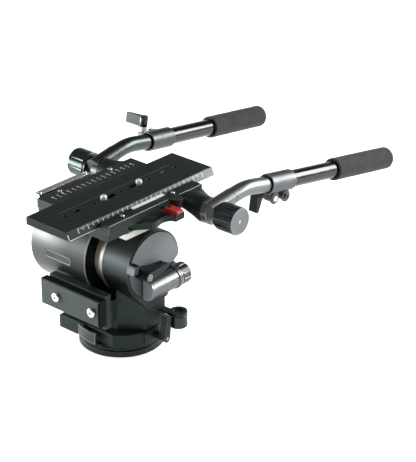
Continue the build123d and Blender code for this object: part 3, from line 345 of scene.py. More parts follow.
# %% Group: brushed lines
def make_brushed_group():
    """Fine lines, with how many changes a metre there are along each axis as input."""
    group, start, end = new_group(
        "brushed_lines", [("Across", "Vector", (1.0, 1.0, 1.0))], [("Value", "Float")],
    )
    squeeze = vector_node(group, "MULTIPLY", object_place(group), start.outputs["Across"])
    lines = add_node(group, "TexNoise", Scale=1.0, Detail=3.0, Roughness=0.7)
    group.links.new(squeeze.outputs["Vector"], lines.inputs["Vector"])
    group.links.new(lines.outputs["Fac"], end.inputs["Value"])
    return group


brushed_lines = make_brushed_group()
print("group:", brushed_lines.name)

# %% [markdown]
# ## One recipe for the metal finishes
# Every anodised or bare part uses the same recipe with its own numbers: base colour broken up by
# grain, a roughness that clouds shift a little, an edge colour that is partly wear and partly a
# painted highlight, and a bump from the grain or the brushed lines over the rounded edge.

# %% The metal recipe
CLOUD_SCALE = 14.0
ROUGH_SPREAD = 0.05
RELIEF_DEPTH = 0.0005
DARK_TINT = (0.76, 1.0, 0.97, 1.0)
BARELY_METAL = 0.5


def place_group(tree, group, **values):
    """A node group placed in a material, with its values filled in."""
    node = tree.nodes.new("ShaderNodeGroup")
    node.node_tree = group
    for key, value in values.items():
        node.inputs[key].default_value = value
    return node


def mix_colour(tree, factor, first, second):
    """A colour mix whose inputs are fixed or linked."""
    mix = add_node(tree, "Mix", data_type="RGBA")
    for index, value in ((0, factor), (6, first), (7, second)):
        fill(tree, mix.inputs[index], value)
    return mix.outputs[2]


def shade(colour, amount):
    """A colour made lighter or darker, with its alpha."""
    return tuple(channel * amount for channel in colour[:3]) + (1.0,)


def bump(tree, value, strength, normal=None):
    """A normal with relief from a linked value, over another normal if there is one."""
    relief = add_node(tree, "Bump", Strength=strength, Distance=RELIEF_DEPTH)
    tree.links.new(value, relief.inputs["Height"])
    if normal:
        tree.links.new(normal, relief.inputs["Normal"])
    return relief.outputs["Normal"]


def finish(name, colour, rough, metal, gloss, edge, edge_share, relief,
           spread=0.15, across=None, edge_radius=EDGE_RADIUS, coat=0.0, second=None):
    """A metal or moulded finish. across sets brushed lines, edge the colour of the edges, partly
    wear and partly a painted highlight, and second is a mask with another colour, roughness and
    metallic under it."""
    material, out = new_material(name)
    tree = material.node_tree
    shader = add_node(tree, "BsdfPrincipled", Metallic=metal)
    shader.inputs["Coat Weight"].default_value = coat
    shader.inputs["Specular IOR Level"].default_value = gloss
    if metal < BARELY_METAL:
        shader.inputs["Specular Tint"].default_value = DARK_TINT
    edges = place_group(tree, worn_and_highlit_edges, Radius=edge_radius)
    if across:
        texture = place_group(tree, brushed_lines, Across=across).outputs["Value"]
    else:
        texture = place_group(tree, blasted_grain, Scale=GRAIN_SCALE).outputs["Value"]
    clouds = place_group(tree, handling_clouds, Scale=CLOUD_SCALE).outputs["Value"]
    base = mix_colour(tree, texture, shade(colour, 1.0 - spread), shade(colour, 1.0 + spread))
    rough_span = (rough - ROUGH_SPREAD, rough + ROUGH_SPREAD)
    roughness = map_range(tree, clouds, (0.0, 1.0), rough_span)
    if second:
        mask, second_colour, second_rough, second_metal = second(tree)
        base = mix_colour(tree, mask, base, second_colour)
        gap = math_node(tree, "SUBTRACT", second_rough, roughness)
        roughness = math_node(tree, "MULTIPLY_ADD", mask, gap, roughness)
        metallic = math_node(tree, "MULTIPLY_ADD", mask, second_metal - metal, metal)
        tree.links.new(metallic, shader.inputs["Metallic"])
    if edge:
        # The edge colour is partly wear and partly a painted highlight.
        worn = math_node(tree, "MULTIPLY", edges.outputs["Mask"], edge_share)
        base = mix_colour(tree, worn, base, edge + (1.0,))
    tree.links.new(base, shader.inputs["Base Color"])
    tree.links.new(roughness, shader.inputs["Roughness"])
    tree.links.new(bump(tree, texture, relief, edges.outputs["Normal"]), shader.inputs["Normal"])
    tree.links.new(shader.outputs[0], out.inputs["Surface"])
    return material


# %% [markdown]
# ### One casting, two skins
# The main casting is turned smooth where it forms the drag drum and is only blasted and painted on
# its column. Both skins are in one material, told apart by the distance from the tilt axis. The
# drag drum's skin is also darker than the spring drum's, as painted shade from the plate above it.
# The spring drum carries painted shade in the same way: it darkens towards the gap, and its face
# there is painted black for the shade in the gap. The camera plate's bevel carries a painted sheen
# that grows brighter towards the rear.

# %% Masks: the turned drum, painted shade at the gap and a painted sheen on the bevel
TILT_HEIGHT = 0.144
DRUM_EDGE = 0.0552
DRUM_SKIN = (0.083, 0.088, 0.087, 1.0)
# The drag drum's skin is darker than the spring drum's, as painted shade from the plate above.
CAST_DRUM_SKIN_AND_SHADE = (0.036, 0.042, 0.042, 1.0)
# Painted shade: the spring drum's face at the gap is black, and its skin darkens towards the gap.
GAP_SHADE = (0.005, 0.0075, 0.007, 1.0)
GAP_FACING = 0.7
DRUM_SHADE_SPAN = (-0.095, -0.035)
DRUM_SHADE_SHARE = 0.6
# A painted sheen on the camera plate's bevel, paler towards the rear.
BEVEL_SHEEN = (0.2, 0.205, 0.2, 1.0)
BEVEL_FACING = 0.6
BEVEL_FADE = (-0.02, 0.16)


def turned_drum(tree):
    """1 on the drum turned about the tilt axis, and that skin's colour, roughness and metallic. The
    colour is darkened as painted shade.
    """
    flat = vector_node(tree, "MULTIPLY", object_place(tree), (0.0, 1.0, 1.0)).outputs[0]
    off_axis = vector_node(tree, "SUBTRACT", flat, (0.0, 0.0, TILT_HEIGHT)).outputs[0]
    reach = vector_node(tree, "LENGTH", off_axis).outputs["Value"]
    return math_node(tree, "LESS_THAN", reach, DRUM_EDGE), CAST_DRUM_SKIN_AND_SHADE, 0.4, 1.0


def facing_right(tree, limit):
    """1 where the part's own surface looks towards +X more than the limit."""
    side = component(tree, add_node(tree, "TexCoord").outputs["Normal"], "X")
    return math_node(tree, "GREATER_THAN", side, limit)


def gap_face(tree):
    """Painted shade: 1 on the face at the gap, and on the drum's skin a share that grows towards it.
    """
    place = component(tree, object_place(tree), "X")
    fade = map_range(tree, place, DRUM_SHADE_SPAN, (0.0, DRUM_SHADE_SHARE), "SMOOTHSTEP")
    mask = math_node(tree, "MAXIMUM", facing_right(tree, GAP_FACING), fade)
    return mask, GAP_SHADE, 0.5, 1.0


def rubbed_bevel(tree):
    """The bevel's share of a painted sheen, which grows towards the rear."""
    place = component(tree, object_place(tree), "Y")
    fade = map_range(tree, place, BEVEL_FADE, kind="SMOOTHSTEP")
    mask = math_node(tree, "MULTIPLY", facing_right(tree, BEVEL_FACING), fade)
    return mask, BEVEL_SHEEN, 0.5, 0.3


print("drum radius told apart at", DRUM_EDGE * 1000, "mm")

# %% [markdown]
# ## The finishes
# The camera plate and the levers are black with a green cast, the drums are a smooth grey satin,
# the drag end face is pale, and the lock block, the side bar and the hub's rim are bare. Each row
# gives the colour, roughness, metallic, gloss, the colour and share of the edges' wear and painted
# highlight, and the relief.

# %% List the finishes
LOOKS = {
    "satin_black": ((0.0085, 0.0128, 0.0122), 0.42, 0.0, 0.26, (0.34, 0.35, 0.34), 0.75, 0.02),
    "plate_black": ((0.0075, 0.0135, 0.0138), 0.42, 0.0, 0.12, (0.5, 0.51, 0.51), 0.8, 0.02),
    "casting": ((0.0135, 0.0185, 0.0178), 0.45, 0.0, 0.32, (0.22, 0.23, 0.23), 0.4, 0.02),
    "box_grey": ((0.034, 0.041, 0.0405), 0.45, 0.0, 0.4, (0.5, 0.52, 0.52), 0.8, 0.02),
    "drum_grey": (DRUM_SKIN, 0.36, 1.0, 0.5, (0.45, 0.46, 0.46), 0.6, 0.004),
    "end_grey": ((0.19, 0.207, 0.218), 0.5, 0.6, 0.4, (0.6, 0.61, 0.62), 0.5, 0.02),
    "raw_metal": ((0.72, 0.71, 0.68), 0.3, 1.0, 0.5, (0.9, 0.9, 0.88), 0.5, 0.02),
    "hub_beige": ((0.8, 0.765, 0.68), 0.4, 0.85, 0.5, (0.85, 0.83, 0.78), 0.5, 0.02),
    "steel": ((0.8, 0.8, 0.79), 0.2, 1.0, 0.5, (0.95, 0.95, 0.95), 0.5, 0.004),
    "tube_grey": ((0.18, 0.19, 0.192), 0.4, 1.0, 0.5, (0.3, 0.3, 0.3), 0.4, 0.002),
    "joint_black": ((0.06, 0.064, 0.065), 0.36, 1.0, 0.5, (0.2, 0.2, 0.2), 0.4, 0.003),
    "barrel_grey": ((0.15, 0.157, 0.16), 0.4, 1.0, 0.5, (0.4, 0.4, 0.4), 0.5, 0.003),
    "tube_gloss": ((0.055, 0.057, 0.057), 0.2, 1.0, 0.5, (0.2, 0.2, 0.2), 0.3, 0.001),
    "knob_black": ((0.009, 0.0105, 0.0103), 0.3, 0.0, 0.5, (0.1, 0.1, 0.1), 0.4, 0.01),
    "red_tab": ((0.5, 0.02, 0.016), 0.25, 0.2, 0.5, (0.95, 0.35, 0.28), 0.7, 0.02),
    "white_strip": ((0.97, 0.97, 0.97), 0.3, 0.0, 0.5, None, 0.0, 0.01),
    "collar_grey": ((0.12, 0.125, 0.128), 0.42, 1.0, 0.5, (0.45, 0.45, 0.45), 0.5, 0.004),
    "brass": ((0.5, 0.45, 0.34), 0.3, 1.0, 0.5, (0.85, 0.75, 0.55), 0.5, 0.02),
    "cream": ((0.75, 0.72, 0.6), 0.4, 0.0, 0.5, None, 0.0, 0.01),
    "sector_grey": ((0.14, 0.158, 0.163), 0.5, 0.2, 0.4, (0.5, 0.51, 0.52), 0.6, 0.02),
    "pale_metal": ((0.88, 0.88, 0.86), 0.4, 0.35, 0.6, (0.95, 0.95, 0.95), 0.5, 0.01),
    "lever_black": ((0.0085, 0.0125, 0.012), 0.42, 0.0, 0.28, (0.62, 0.63, 0.63), 0.85, 0.01),
    "knurl_metal": ((0.1, 0.105, 0.106), 0.32, 1.0, 0.5, (0.5, 0.5, 0.5), 0.6, 0.003),
    "face_grey": ((0.27, 0.295, 0.305), 0.5, 0.2, 0.4, (0.6, 0.61, 0.62), 0.7, 0.02),
    # Painted shade for the front box's sides and top.
    "painted_shade_black": ((0.003, 0.0045, 0.0042), 0.6, 0.0, 0.1, (0.25, 0.26, 0.26), 0.5, 0.01),
    # The far handle takes darker copies of the near tube and collar finishes, as painted shade.
    "tube_grey_shaded": ((0.062, 0.07, 0.07), 0.36, 1.0, 0.5, (0.3, 0.3, 0.3), 0.4, 0.002),
    "collar_dark": ((0.078, 0.084, 0.084), 0.42, 1.0, 0.5, (0.45, 0.45, 0.45), 0.5, 0.004),
    "pale_block": ((0.66, 0.64, 0.58), 0.5, 0.2, 0.5, (0.8, 0.79, 0.75), 0.5, 0.02),
    "bare_edge": ((0.3, 0.287, 0.255), 0.45, 1.0, 0.5, (0.5, 0.48, 0.43), 0.5, 0.02),
    # The pale line painted as a highlight on the near rail's edge.
    "highlight_line": ((0.6, 0.59, 0.55), 0.45, 0.3, 0.5, (0.8, 0.8, 0.76), 0.5, 0.02),
    "line_grey": ((0.2, 0.21, 0.21), 0.5, 0.0, 0.4, None, 0.0, 0.02),
    "scale_paint": ((0.85, 0.86, 0.85), 0.5, 0.0, 0.4, None, 0.0, 0.02),
}
print("finishes listed:", len(LOOKS))

# %% Make the finishes and put them on the solid parts
ALONG_Y = (900.0, 12.0, 900.0)
AROUND_X = (1400.0, 30.0, 30.0)
EXTRAS = {
    "satin_black": {"edge_radius": 0.0008},
    "plate_black": {"second": rubbed_bevel},
    "casting": {"second": turned_drum},
    "drum_grey": {"second": gap_face},
    "raw_metal": {"across": ALONG_Y},
    "steel": {"edge_radius": 0.0003},
    "tube_grey": {"spread": 0.08},
    "barrel_grey": {"spread": 0.08},
    "tube_gloss": {"spread": 0.06},
    "red_tab": {"coat": 0.5},
    "white_strip": {"spread": 0.04},
    "brass": {"edge_radius": 0.0003},
    "cream": {"spread": 0.05},
    "pale_metal": {"edge_radius": 0.0003},
    "tube_grey_shaded": {"spread": 0.08},
    "bare_edge": {"across": AROUND_X},
    "line_grey": {"spread": 0.1},
    "scale_paint": {"spread": 0.08},
}
OTHER_FINISH = {
    # The far handle's joint, tube and collar take the darker copies, as painted shade.
    "main_casting": "casting", "t_joint_near": "tube_grey", "t_joint_far": "tube_grey_shaded",
    "tube_collar_near": "collar_grey", "tube_collar_far": "collar_dark",
    "drag_end_sector": "sector_grey", "tilt_drag_barrel": "barrel_grey",
    "tilt_yoke": "knob_black", "tilt_drag_knob": "knurl_metal", "tilt_lock_lever": "lever_black",
    "pan_lock_lever": "lever_black", "plate_lock_lever": "lever_black",
    "tab_bracket": "lever_black", "clamp_lever_near": "lever_black",
    "clamp_lever_far": "lever_black", "platform_block": "pale_block",
    "front_camera_screw": "pale_metal", "rear_camera_screw": "pale_metal",
}
finishes = {name: finish(name, *look, **EXTRAS.get(name, {})) for name, look in LOOKS.items()}
for node, part in frame["nodes"].items():
    if slot_of[node] != "foam":
        part.data.materials.clear()
        part.data.materials.append(finishes[OTHER_FINISH.get(node, slot_of[node])])
print("finishes:", len(finishes))

# %% [markdown]
# ## A bench for small turned and cut pieces
# Most small pieces here are turned, like a screw or a ring, or cut from strip. One helper turns a
# profile about an axis, and can make a row six-sided for a hex socket. Another makes thin blocks on
# any plane. A third gives the mesh its finish and its body.

# %% Helpers that make meshes
SHARP_ANGLE = math.radians(35)
TURN = 2.0 * math.pi


def finished_piece(name, points, faces, skin, body, smooth=True, edge_width=0.0):
    """A mesh piece from points in millimetres, with its finish, riding on one body."""
    mesh = bpy.data.meshes.new(name)
    mesh.from_pydata([Vector(p) * MM for p in points], [], faces)
    work = bmesh.new()
    work.from_mesh(mesh)
    bmesh.ops.recalc_face_normals(work, faces=work.faces)
    work.to_mesh(mesh)
    work.free()
    mesh.materials.append(finishes[skin])
    piece = bpy.data.objects.new(name, mesh)
    bpy.context.collection.objects.link(piece)
    if smooth:
        mesh.shade_smooth()
        mesh.set_sharp_from_angle(angle=SHARP_ANGLE)
    else:
        mesh.shade_flat()
    if edge_width:
        soften = piece.modifiers.new("soft_edges", "BEVEL")
        soften.width = edge_width * MM
        soften.segments = 2
        soften.limit_method = "ANGLE"
    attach(piece, body)
    return piece


def standing(point, direction, turn=0.0):
    """A frame in millimetres with its origin at a point and Z along a direction."""
    spin = Vector(direction).to_track_quat("Z", "Y").to_matrix().to_4x4()
    return Matrix.Translation(Vector(point)) @ spin @ Matrix.Rotation(math.radians(turn), 4, "Z")


def row_points(row, count):
    """One ring of a turned piece: (radius, height), or (radius, height, sides) for a polygon."""
    radius, height = row[:2]
    for index in range(count):
        angle = TURN * index / count
        reach = radius
        if len(row) > 2:
            sector = TURN / row[2]
            reach = radius * math.cos(sector / 2) / math.cos(angle % sector - sector / 2)
        yield Vector((reach * math.cos(angle), reach * math.sin(angle), height))


def ring_faces(rows, count, closed=False):
    """Faces between rings of points, with two end caps unless the last ring joins the first."""
    faces = []
    for r in range(rows if closed else rows - 1):
        low, high = r * count, (r + 1) % rows * count
        for i in range(count):
            ahead = (i + 1) % count
            faces.append((low + i, low + ahead, high + ahead, high + i))
    if not closed:
        faces += [tuple(range(count)), tuple(range((rows - 1) * count, rows * count))]
    return faces


def turned(name, rows, place, skin, body, count=48, closed=False):
    """A profile turned about the Z axis of a place. A closed one is a ring."""
    points = [place @ p for row in rows for p in row_points(row, count)]
    faces = ring_faces(len(rows), count, closed)
    return finished_piece(name, points, faces, skin, body)


QUADS = ((0, 1, 3, 2), (4, 5, 7, 6), (0, 1, 5, 4), (2, 3, 7, 6), (0, 2, 6, 4), (1, 3, 7, 5))


def blocks(name, boxes, skin, body, edge_width=0.0):
    """Many small blocks in one mesh. Each is a corner, then three edge vectors."""
    points, faces = [], []
    for box in boxes:
        start = len(points)
        corner, a, b, c = (Vector(v) for v in box)
        points += [corner + i * a + j * b + k * c for k in (0, 1) for j in (0, 1) for i in (0, 1)]
        faces += [tuple(start + q for q in quad) for quad in QUADS]
    return finished_piece(name, points, faces, skin, body, False, edge_width)


print("bench ready")

# %% [markdown]
# ## The scale on the plate
# The sliding plate carries a scale on its near bevel, so that a camera can be put back where it
# balanced. Engraved and filled lines are a tenth of a millimetre of paint. Here each line is a thin
# raised strip that lies on the slope of the bevel, long at every second centimetre.

# %% Engrave the plate
BEVEL_TOP = Vector((49.1, 0.0, 246.9))
BEVEL_FOOT = Vector((55.1, 0.0, 235.4))
SCALE_START = -134.2
SCALE_COUNT = 27
SCALE_STEP = 10.0
FINE_STEP = 2.0
FINE_PER_MARK = 5
LONG_MARK, SHORT_MARK, FINE_MARK = 7.4, 5.0, 3.0
MARK_WIDTH, FINE_WIDTH = 1.1, 0.35
SLOPE_START = 0.8
PAINT = 0.12
GROOVE_X, GROOVE_WIDTH = -3.9, 0.5
GROOVE_Y = (-118.1, 111.9)
down_slope = (BEVEL_FOOT - BEVEL_TOP).normalized()
off_slope = Vector((-down_slope.z, 0.0, down_slope.x))


def bevel_tick(y, length, width):
    """One line of the scale, as a block that lies on the slope."""
    aside = Vector((0.0, y - width / 2, 0.0))
    corner = BEVEL_TOP + down_slope * SLOPE_START + aside - off_slope * PAINT
    return corner, down_slope * length, Vector((0.0, width, 0.0)), off_slope * 2 * PAINT


ticks, fine = [], []
for i in range(SCALE_COUNT):
    length = SHORT_MARK if i % 2 else LONG_MARK
    ticks.append(bevel_tick(SCALE_START + i * SCALE_STEP, length, MARK_WIDTH))
for i in range((SCALE_COUNT - 1) * FINE_PER_MARK + 1):
    if i % FINE_PER_MARK:
        fine.append(bevel_tick(SCALE_START + i * FINE_STEP, FINE_MARK, FINE_WIDTH))
blocks("plate_scale", ticks + fine, "scale_paint", "plate")
groove = (
    (GROOVE_X, GROOVE_Y[0], BEVEL_TOP.z - 0.1),
    (GROOVE_WIDTH, 0, 0), (0, GROOVE_Y[1] - GROOVE_Y[0], 0), (0, 0, 0.14),
)
blocks("plate_centre_line", [groove], "line_grey", "plate")
print("scale marks:", len(ticks), "and", len(fine), "fine")

# %% [markdown]
# ## Painted edge highlights
# The foot of the plate's bevel, its front corner and the top edge of the near rail catch a bright
# line of light. The shader's edges are too faint there, so thin pale strips lie on them as painted
# highlights.

# %% Paint highlights on the edges of the plate and the near rail
RAIL_TOP = 241.9
RAIL_FOOT = 228.4
FOOT_LINE = (-154.6, 148.4)
CORNER_HIGHLIGHT = (54.6, -155.7, 237.0)
RAIL_EDGE_X = 72.7
RAIL_EDGE_Y = ((-95.0, 26.8), (52.2, 101.5))
EDGE_LINE = 0.75

# The plate's pale strips are painted highlights on its bevel foot and front corner.
plate_highlights = [
    ((54.75, FOOT_LINE[0], 235.3), (0.45, 0, 0), (0, FOOT_LINE[1] - FOOT_LINE[0], 0), (0, 0, 0.7)),
    (CORNER_HIGHLIGHT, (0.5, 0, 0), (0, 0.9, 0), (-3.2, 0, 7.2)),
]
blocks("plate_edge_highlights", plate_highlights, "pale_metal", "plate", edge_width=0.12)
# The near rail's pale strips are painted highlights too.
bare = []
for y0, y1 in RAIL_EDGE_Y:
    corner = (RAIL_EDGE_X - EDGE_LINE, y0, RAIL_TOP - 0.4)
    bare.append((corner, (EDGE_LINE + 0.1, 0, 0), (0, y1 - y0, 0), (0, 0, 0.5)))
corner = (RAIL_EDGE_X - 0.15, RAIL_EDGE_Y[0][0] - 0.4, RAIL_FOOT)
bare.append((corner, (0.25, 0, 0), (0, 0.3, 0), (0, 0, RAIL_TOP - 228.6)))
blocks("rail_edge_highlight", bare, "highlight_line", "tilt_body", edge_width=0.15)
print("bare lines:", len(plate_highlights) + len(bare))

# %% [markdown]
# ## The numbered scale on the far rail
# The far rail has a second scale with a number at each centimetre from the middle. Numbers are text
# objects, turned into mesh so that they are pieces like any other, and laid flat on the rail.

# %% Number the far rail
RAIL_SCALE_X = -49.6
RAIL_NUMBER_X = -55.6
RAIL_START = -78.0
RAIL_STEP = 10.2
RAIL_MARKS = 17
RAIL_MARK = ((4.4, 0, 0), (0, 0.8, 0), (0, 0, 0.22))
NUMBER_SIZE = 6.0

rail_ticks = []
number_points, number_faces = [], []
for i in range(RAIL_MARKS):
    y = RAIL_START + i * RAIL_STEP
    rail_ticks.append(((RAIL_SCALE_X - 4.4, y - 0.4, RAIL_TOP - 0.1), *RAIL_MARK))
    letters = bpy.data.curves.new("number", "FONT")
    letters.body = str(abs(i - RAIL_MARKS // 2))
    letters.size = NUMBER_SIZE
    letters.align_x = "CENTER"
    letters.extrude = 0.1
    letters.resolution_u = 2
    letters.offset = 0.12
    sketch = bpy.data.objects.new("number", letters)
    flat = bpy.data.meshes.new_from_object(sketch)
    start = len(number_points)
    for vertex in flat.vertices:
        number_points.append((RAIL_NUMBER_X - vertex.co.y, y + vertex.co.x, RAIL_TOP + vertex.co.z))
    number_faces += [tuple(start + v for v in face.vertices) for face in flat.polygons]
    bpy.data.objects.remove(sketch)
    bpy.data.curves.remove(letters)
    bpy.data.meshes.remove(flat)
blocks("rail_scale", rail_ticks, "scale_paint", "tilt_body")
finished_piece(
    "rail_numbers", number_points, number_faces, "scale_paint", "tilt_body", False
)
print("numbers:", RAIL_MARKS)

# %% [markdown]
# ## The foam grips
# Each handle ends in a thick sleeve of closed-cell foam. It is never a plain cylinder: its mouth is
# rolled inwards round the tube, its end is rounded, and its skin is a little uneven. A profile
# turned about the tube's axis gives the form, and noise moves its points by a few tenths of a
# millimetre.

# %% Where the handles run
HANDLE_DROOP = 9.2
HANDLE_SPLAY = 2.1
BEND_END = {
    "near": Vector((126.896, 150.969, 235.831)), "far": Vector((-114.896, 150.969, 235.831)),
}
OUTWARD = {"near": 1.0, "far": -1.0}


def handle_heading(side, angle):
    """Unit vector of a tube: splayed outwards and angled above the level."""
    level = math.cos(math.radians(angle))
    rise, splay = math.radians(angle), math.radians(HANDLE_SPLAY)
    level = math.cos(rise)
    outward = OUTWARD[side] * math.sin(splay) * level
    return Vector((outward, math.cos(splay) * level, math.sin(rise)))


def on_handle(side, distance):
    """The frame that stands on the straight tube, a distance from the bend."""
    direction = handle_heading(side, -HANDLE_DROOP)
    return standing(BEND_END[side] + direction * distance, direction)


# %% A foam finish
FOAM_DARK = (0.017, 0.0205, 0.0195, 1.0)
FOAM_PALE = (0.03, 0.035, 0.033, 1.0)
FOAM_WORN = (0.05, 0.056, 0.053, 1.0)
FOAM_CELL = (0.012, 0.014, 0.0135, 1.0)
CELLS, MOTTLE, PATCHES = 1100.0, 120.0, 38.0


def foam_finish():
    """Dark grey-green foam: soft mottling, paler rubbed patches and small closed cells."""
    material, out = new_material("foam")
    tree = material.node_tree
    shader = add_node(tree, "BsdfPrincipled", Roughness=0.8)
    shader.inputs["Specular IOR Level"].default_value = 0.3
    shader.inputs["Sheen Weight"].default_value = 0.12
    shader.inputs["Sheen Roughness"].default_value = 0.5
    cells = place_group(tree, blasted_grain, Scale=CELLS).outputs["Value"]
    mottle = place_group(tree, handling_clouds, Scale=MOTTLE).outputs["Value"]
    worn = place_group(tree, handling_clouds, Scale=PATCHES).outputs["Value"]
    base = mix_colour(tree, mottle, FOAM_DARK, FOAM_PALE)
    base = mix_colour(tree, math_node(tree, "MULTIPLY", worn, 0.35), base, FOAM_WORN)
    base = mix_colour(tree, math_node(tree, "MULTIPLY", cells, 0.2), base, FOAM_CELL)
    tree.links.new(base, shader.inputs["Base Color"])
    tree.links.new(bump(tree, cells, 0.25), shader.inputs["Normal"])
    tree.links.new(shader.outputs[0], out.inputs["Surface"])
    return material


finishes["foam"] = foam_finish()
print("foam ready")

# %% [markdown]
# ### The grip's profile
# The profile starts at the bottom of the bore, comes out round the rolled lip, runs along the
# sleeve and closes over the rounded end.

# %% Turn the grips
GRIP_START = 186.5
GRIP_LENGTH = 137.0
GRIP_R = 17.6
GRIP_BORE_R = 13.35
LIP_ROUND = 2.2
END_ROUND = 7.0
BORE_DEPTH = 128.0
BARREL_ROWS = 46
SKIN_WOBBLE = 0.3
SKIN_SINK = 0.1
GRIP_COUNT = 72


def arc_rows(centre_r, centre_z, radius, start, end, count):
    """Rows round part of a circle in the profile, angles in degrees from outwards towards +Z."""
    rows = []
    for i in range(count):
        angle = math.radians(start + (end - start) * i / (count - 1))
        rows.append((centre_r + radius * math.cos(angle), centre_z + radius * math.sin(angle)))
    return rows


def grip_profile():
    rows = [(0.05, BORE_DEPTH), (GRIP_BORE_R, BORE_DEPTH), (GRIP_BORE_R, LIP_ROUND + 6.0)]
    rows += [(GRIP_BORE_R + 0.5, LIP_ROUND + 2.0)]
    rows += arc_rows(GRIP_R - LIP_ROUND, LIP_ROUND, LIP_ROUND, -150, 0, 8)
    for i in range(1, BARREL_ROWS):
        rows.append((GRIP_R, LIP_ROUND + (GRIP_LENGTH - END_ROUND - LIP_ROUND) * i / BARREL_ROWS))
    rows += arc_rows(GRIP_R - END_ROUND, GRIP_LENGTH - END_ROUND, END_ROUND, 0, 80, 9)
    rows += [(GRIP_R * share, GRIP_LENGTH + 0.1) for share in (0.45, 0.3, 0.12, 0.01)]
    return rows

for side in ("near", "far"):
    axis = on_handle(side, GRIP_START)
    rows = grip_profile()
    points = [axis @ p for row in rows for p in row_points(row, GRIP_COUNT)]
    spot = axis.translation
    line = (axis @ Vector((0, 0, 1)) - spot).normalized()
    for i, p in enumerate(points):
        out = (p - spot) - line * (p - spot).dot(line)
        if out.length > GRIP_R - 1.0:
            swell = noise.noise(p * 0.05) * 0.6 + noise.noise(p * 0.2) * 0.4
            points[i] = p + out.normalized() * (swell * SKIN_WOBBLE - SKIN_SINK)
    faces = ring_faces(len(rows), GRIP_COUNT)
    grip = finished_piece("foam_grip_" + side, points, faces, "foam", side + "_grip_tube")
    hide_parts("grip_" + side)
    print("grip", side, "points:", len(points))

# %% [markdown]
# ## The cranked tubes
# Each handle starts with a tube that rises from its socket and bends down into the straight part.
# A bend needs many cross-sections to mirror the lamps without kinks, so it is swept here as rings
# along its centre line: straight out of the socket, round a bend, and straight to the collar.

# %% Sweep the cranked tubes
SEAM = {"near": Vector((125.252, 106.141, 236.301)), "far": Vector((-113.252, 106.141, 236.301))}
CRANK_TOP = {"near": Vector((126.3, 137.0, 240.0)), "far": Vector((-114.3, 137.0, 240.0))}
SOCKET_RISE = 8.0
SOCKET_R_SEEN = 12.45
TUBE_R = 12.0
TUBE_REACH = 172.0
CRANK_ROUND = 15.0
CRANK_ROWS = 24
TUBE_COUNT = 64
# The far tube takes the darker copy of the near tube's finish, as painted shade.
TUBE_SKIN = {"near": "tube_grey", "far": "tube_grey_shaded"}
RING_ROWS = [
    (0.0, -0.45), (0.28, -0.3), (0.34, 0.0), (0.28, 0.3), (0.0, 0.45), (-0.6, 0.45), (-0.6, -0.45),
]


def crank_line(side):
    """Centre line points: from the seam, up the crank, round the bend and down the straight."""
    low, corner = SEAM[side], CRANK_TOP[side]
    ahead = handle_heading(side, -HANDLE_DROOP)
    joins = BEND_END[side] + ahead * 30.0
    first = corner + (low - corner).normalized() * CRANK_ROUND
    second = corner + (joins - corner).normalized() * CRANK_ROUND
    line = [low.lerp(first, i / 5) for i in range(5)]
    for i in range(CRANK_ROWS + 1):
        t = i / CRANK_ROWS
        line.append(first * (1 - t) ** 2 + corner * 2 * t * (1 - t) + second * t * t)
    line += [joins] + [BEND_END[side] + ahead * step for step in (60.0, 110.0, TUBE_REACH)]
    return line


def swept(name, line, radius, start_direction, skin, body):
    """A round bar along a centre line that stays in one upright plane."""
    points = []
    for i, centre in enumerate(line):
        before = line[i] - line[i - 1] if i else start_direction
        after = line[i + 1] - line[i] if i + 1 < len(line) else before
        along = (before.normalized() + after.normalized()).normalized()
        across = Vector((along.y, -along.x, 0.0)).normalized()
        up = across.cross(along)
        for k in range(TUBE_COUNT):
            angle = TURN * k / TUBE_COUNT
            points.append(centre + (across * math.cos(angle) + up * math.sin(angle)) * radius)
    faces = ring_faces(len(line), TUBE_COUNT)
    return finished_piece(name, points, faces, skin, body)


for side in ("near", "far"):
    start = handle_heading(side, SOCKET_RISE)
    body = side + "_handle"
    line = crank_line(side)
    tube = swept("cranked_tube_" + side, line, TUBE_R, start, TUBE_SKIN[side], body)
    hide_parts("bent_tube_" + side)
    rows = [(SOCKET_R_SEEN + r, z) for r, z in RING_ROWS]
    seat = standing(SEAM[side], start)
    turned("seam_ring_" + side, rows, seat, "knob_black", body, closed=True)
    print("tube", side, "rows:", len(line))

# %% [markdown]
# ## Hubs, screws and sockets
# The two lock levers are held by a small screw in a thin washer, the clamp knobs carry a hex socket
# in the middle of their end disc, and the collars have cap screws. A turned profile whose last rows
# have six sides makes the hex socket, so that light falls into a real hole.

# %% Turn the small screws
LEVER_HUBS = {"tilt_lock": (86.0, -26.0, 139.5), "pan_lock": (90.0, 4.5, 27.5)}
WASHER_SKIN = {"tilt_lock": "pale_metal", "pan_lock": "joint_black"}
LEVER_WASHER = (4.1, 4.9, 0.5)
LEVER_SCREW = (2.3, 0.9, 1.1, 1.0)


def washer_rows(inner, outer, thick):
    """A flat ring with its upper edges broken."""
    soft = thick * 0.4
    return [
        (inner, 0.0), (outer, 0.0), (outer, thick - soft), (outer - soft, thick),
        (inner + soft, thick), (inner, thick - soft),
    ]


def socket_screw_rows(radius, rise, hex_radius, depth):
    """A low round head with a hex socket, from its seat to the bottom of the socket."""
    soft = radius * 0.18
    return [
        (radius, 0.0), (radius, rise - soft), (radius - soft * 0.35, rise - soft * 0.35),
        (radius - soft, rise), (hex_radius * 1.12, rise), (hex_radius, rise - 0.15, 6),
        (hex_radius, rise - depth, 6),
    ]


for lever, spot in LEVER_HUBS.items():
    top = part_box(lever + "_lever")[1][0] / MM
    seat = standing((top - 0.05, spot[1], spot[2]), (1, 0, 0))
    rows, skin = washer_rows(*LEVER_WASHER), WASHER_SKIN[lever]
    turned(lever + "_washer", rows, seat, skin, lever, 40, closed=True)
    rows = socket_screw_rows(*LEVER_SCREW)
    turned(lever + "_screw", rows, seat, "cream", lever, 36)
    print(lever, "face at x", round(top, 1))

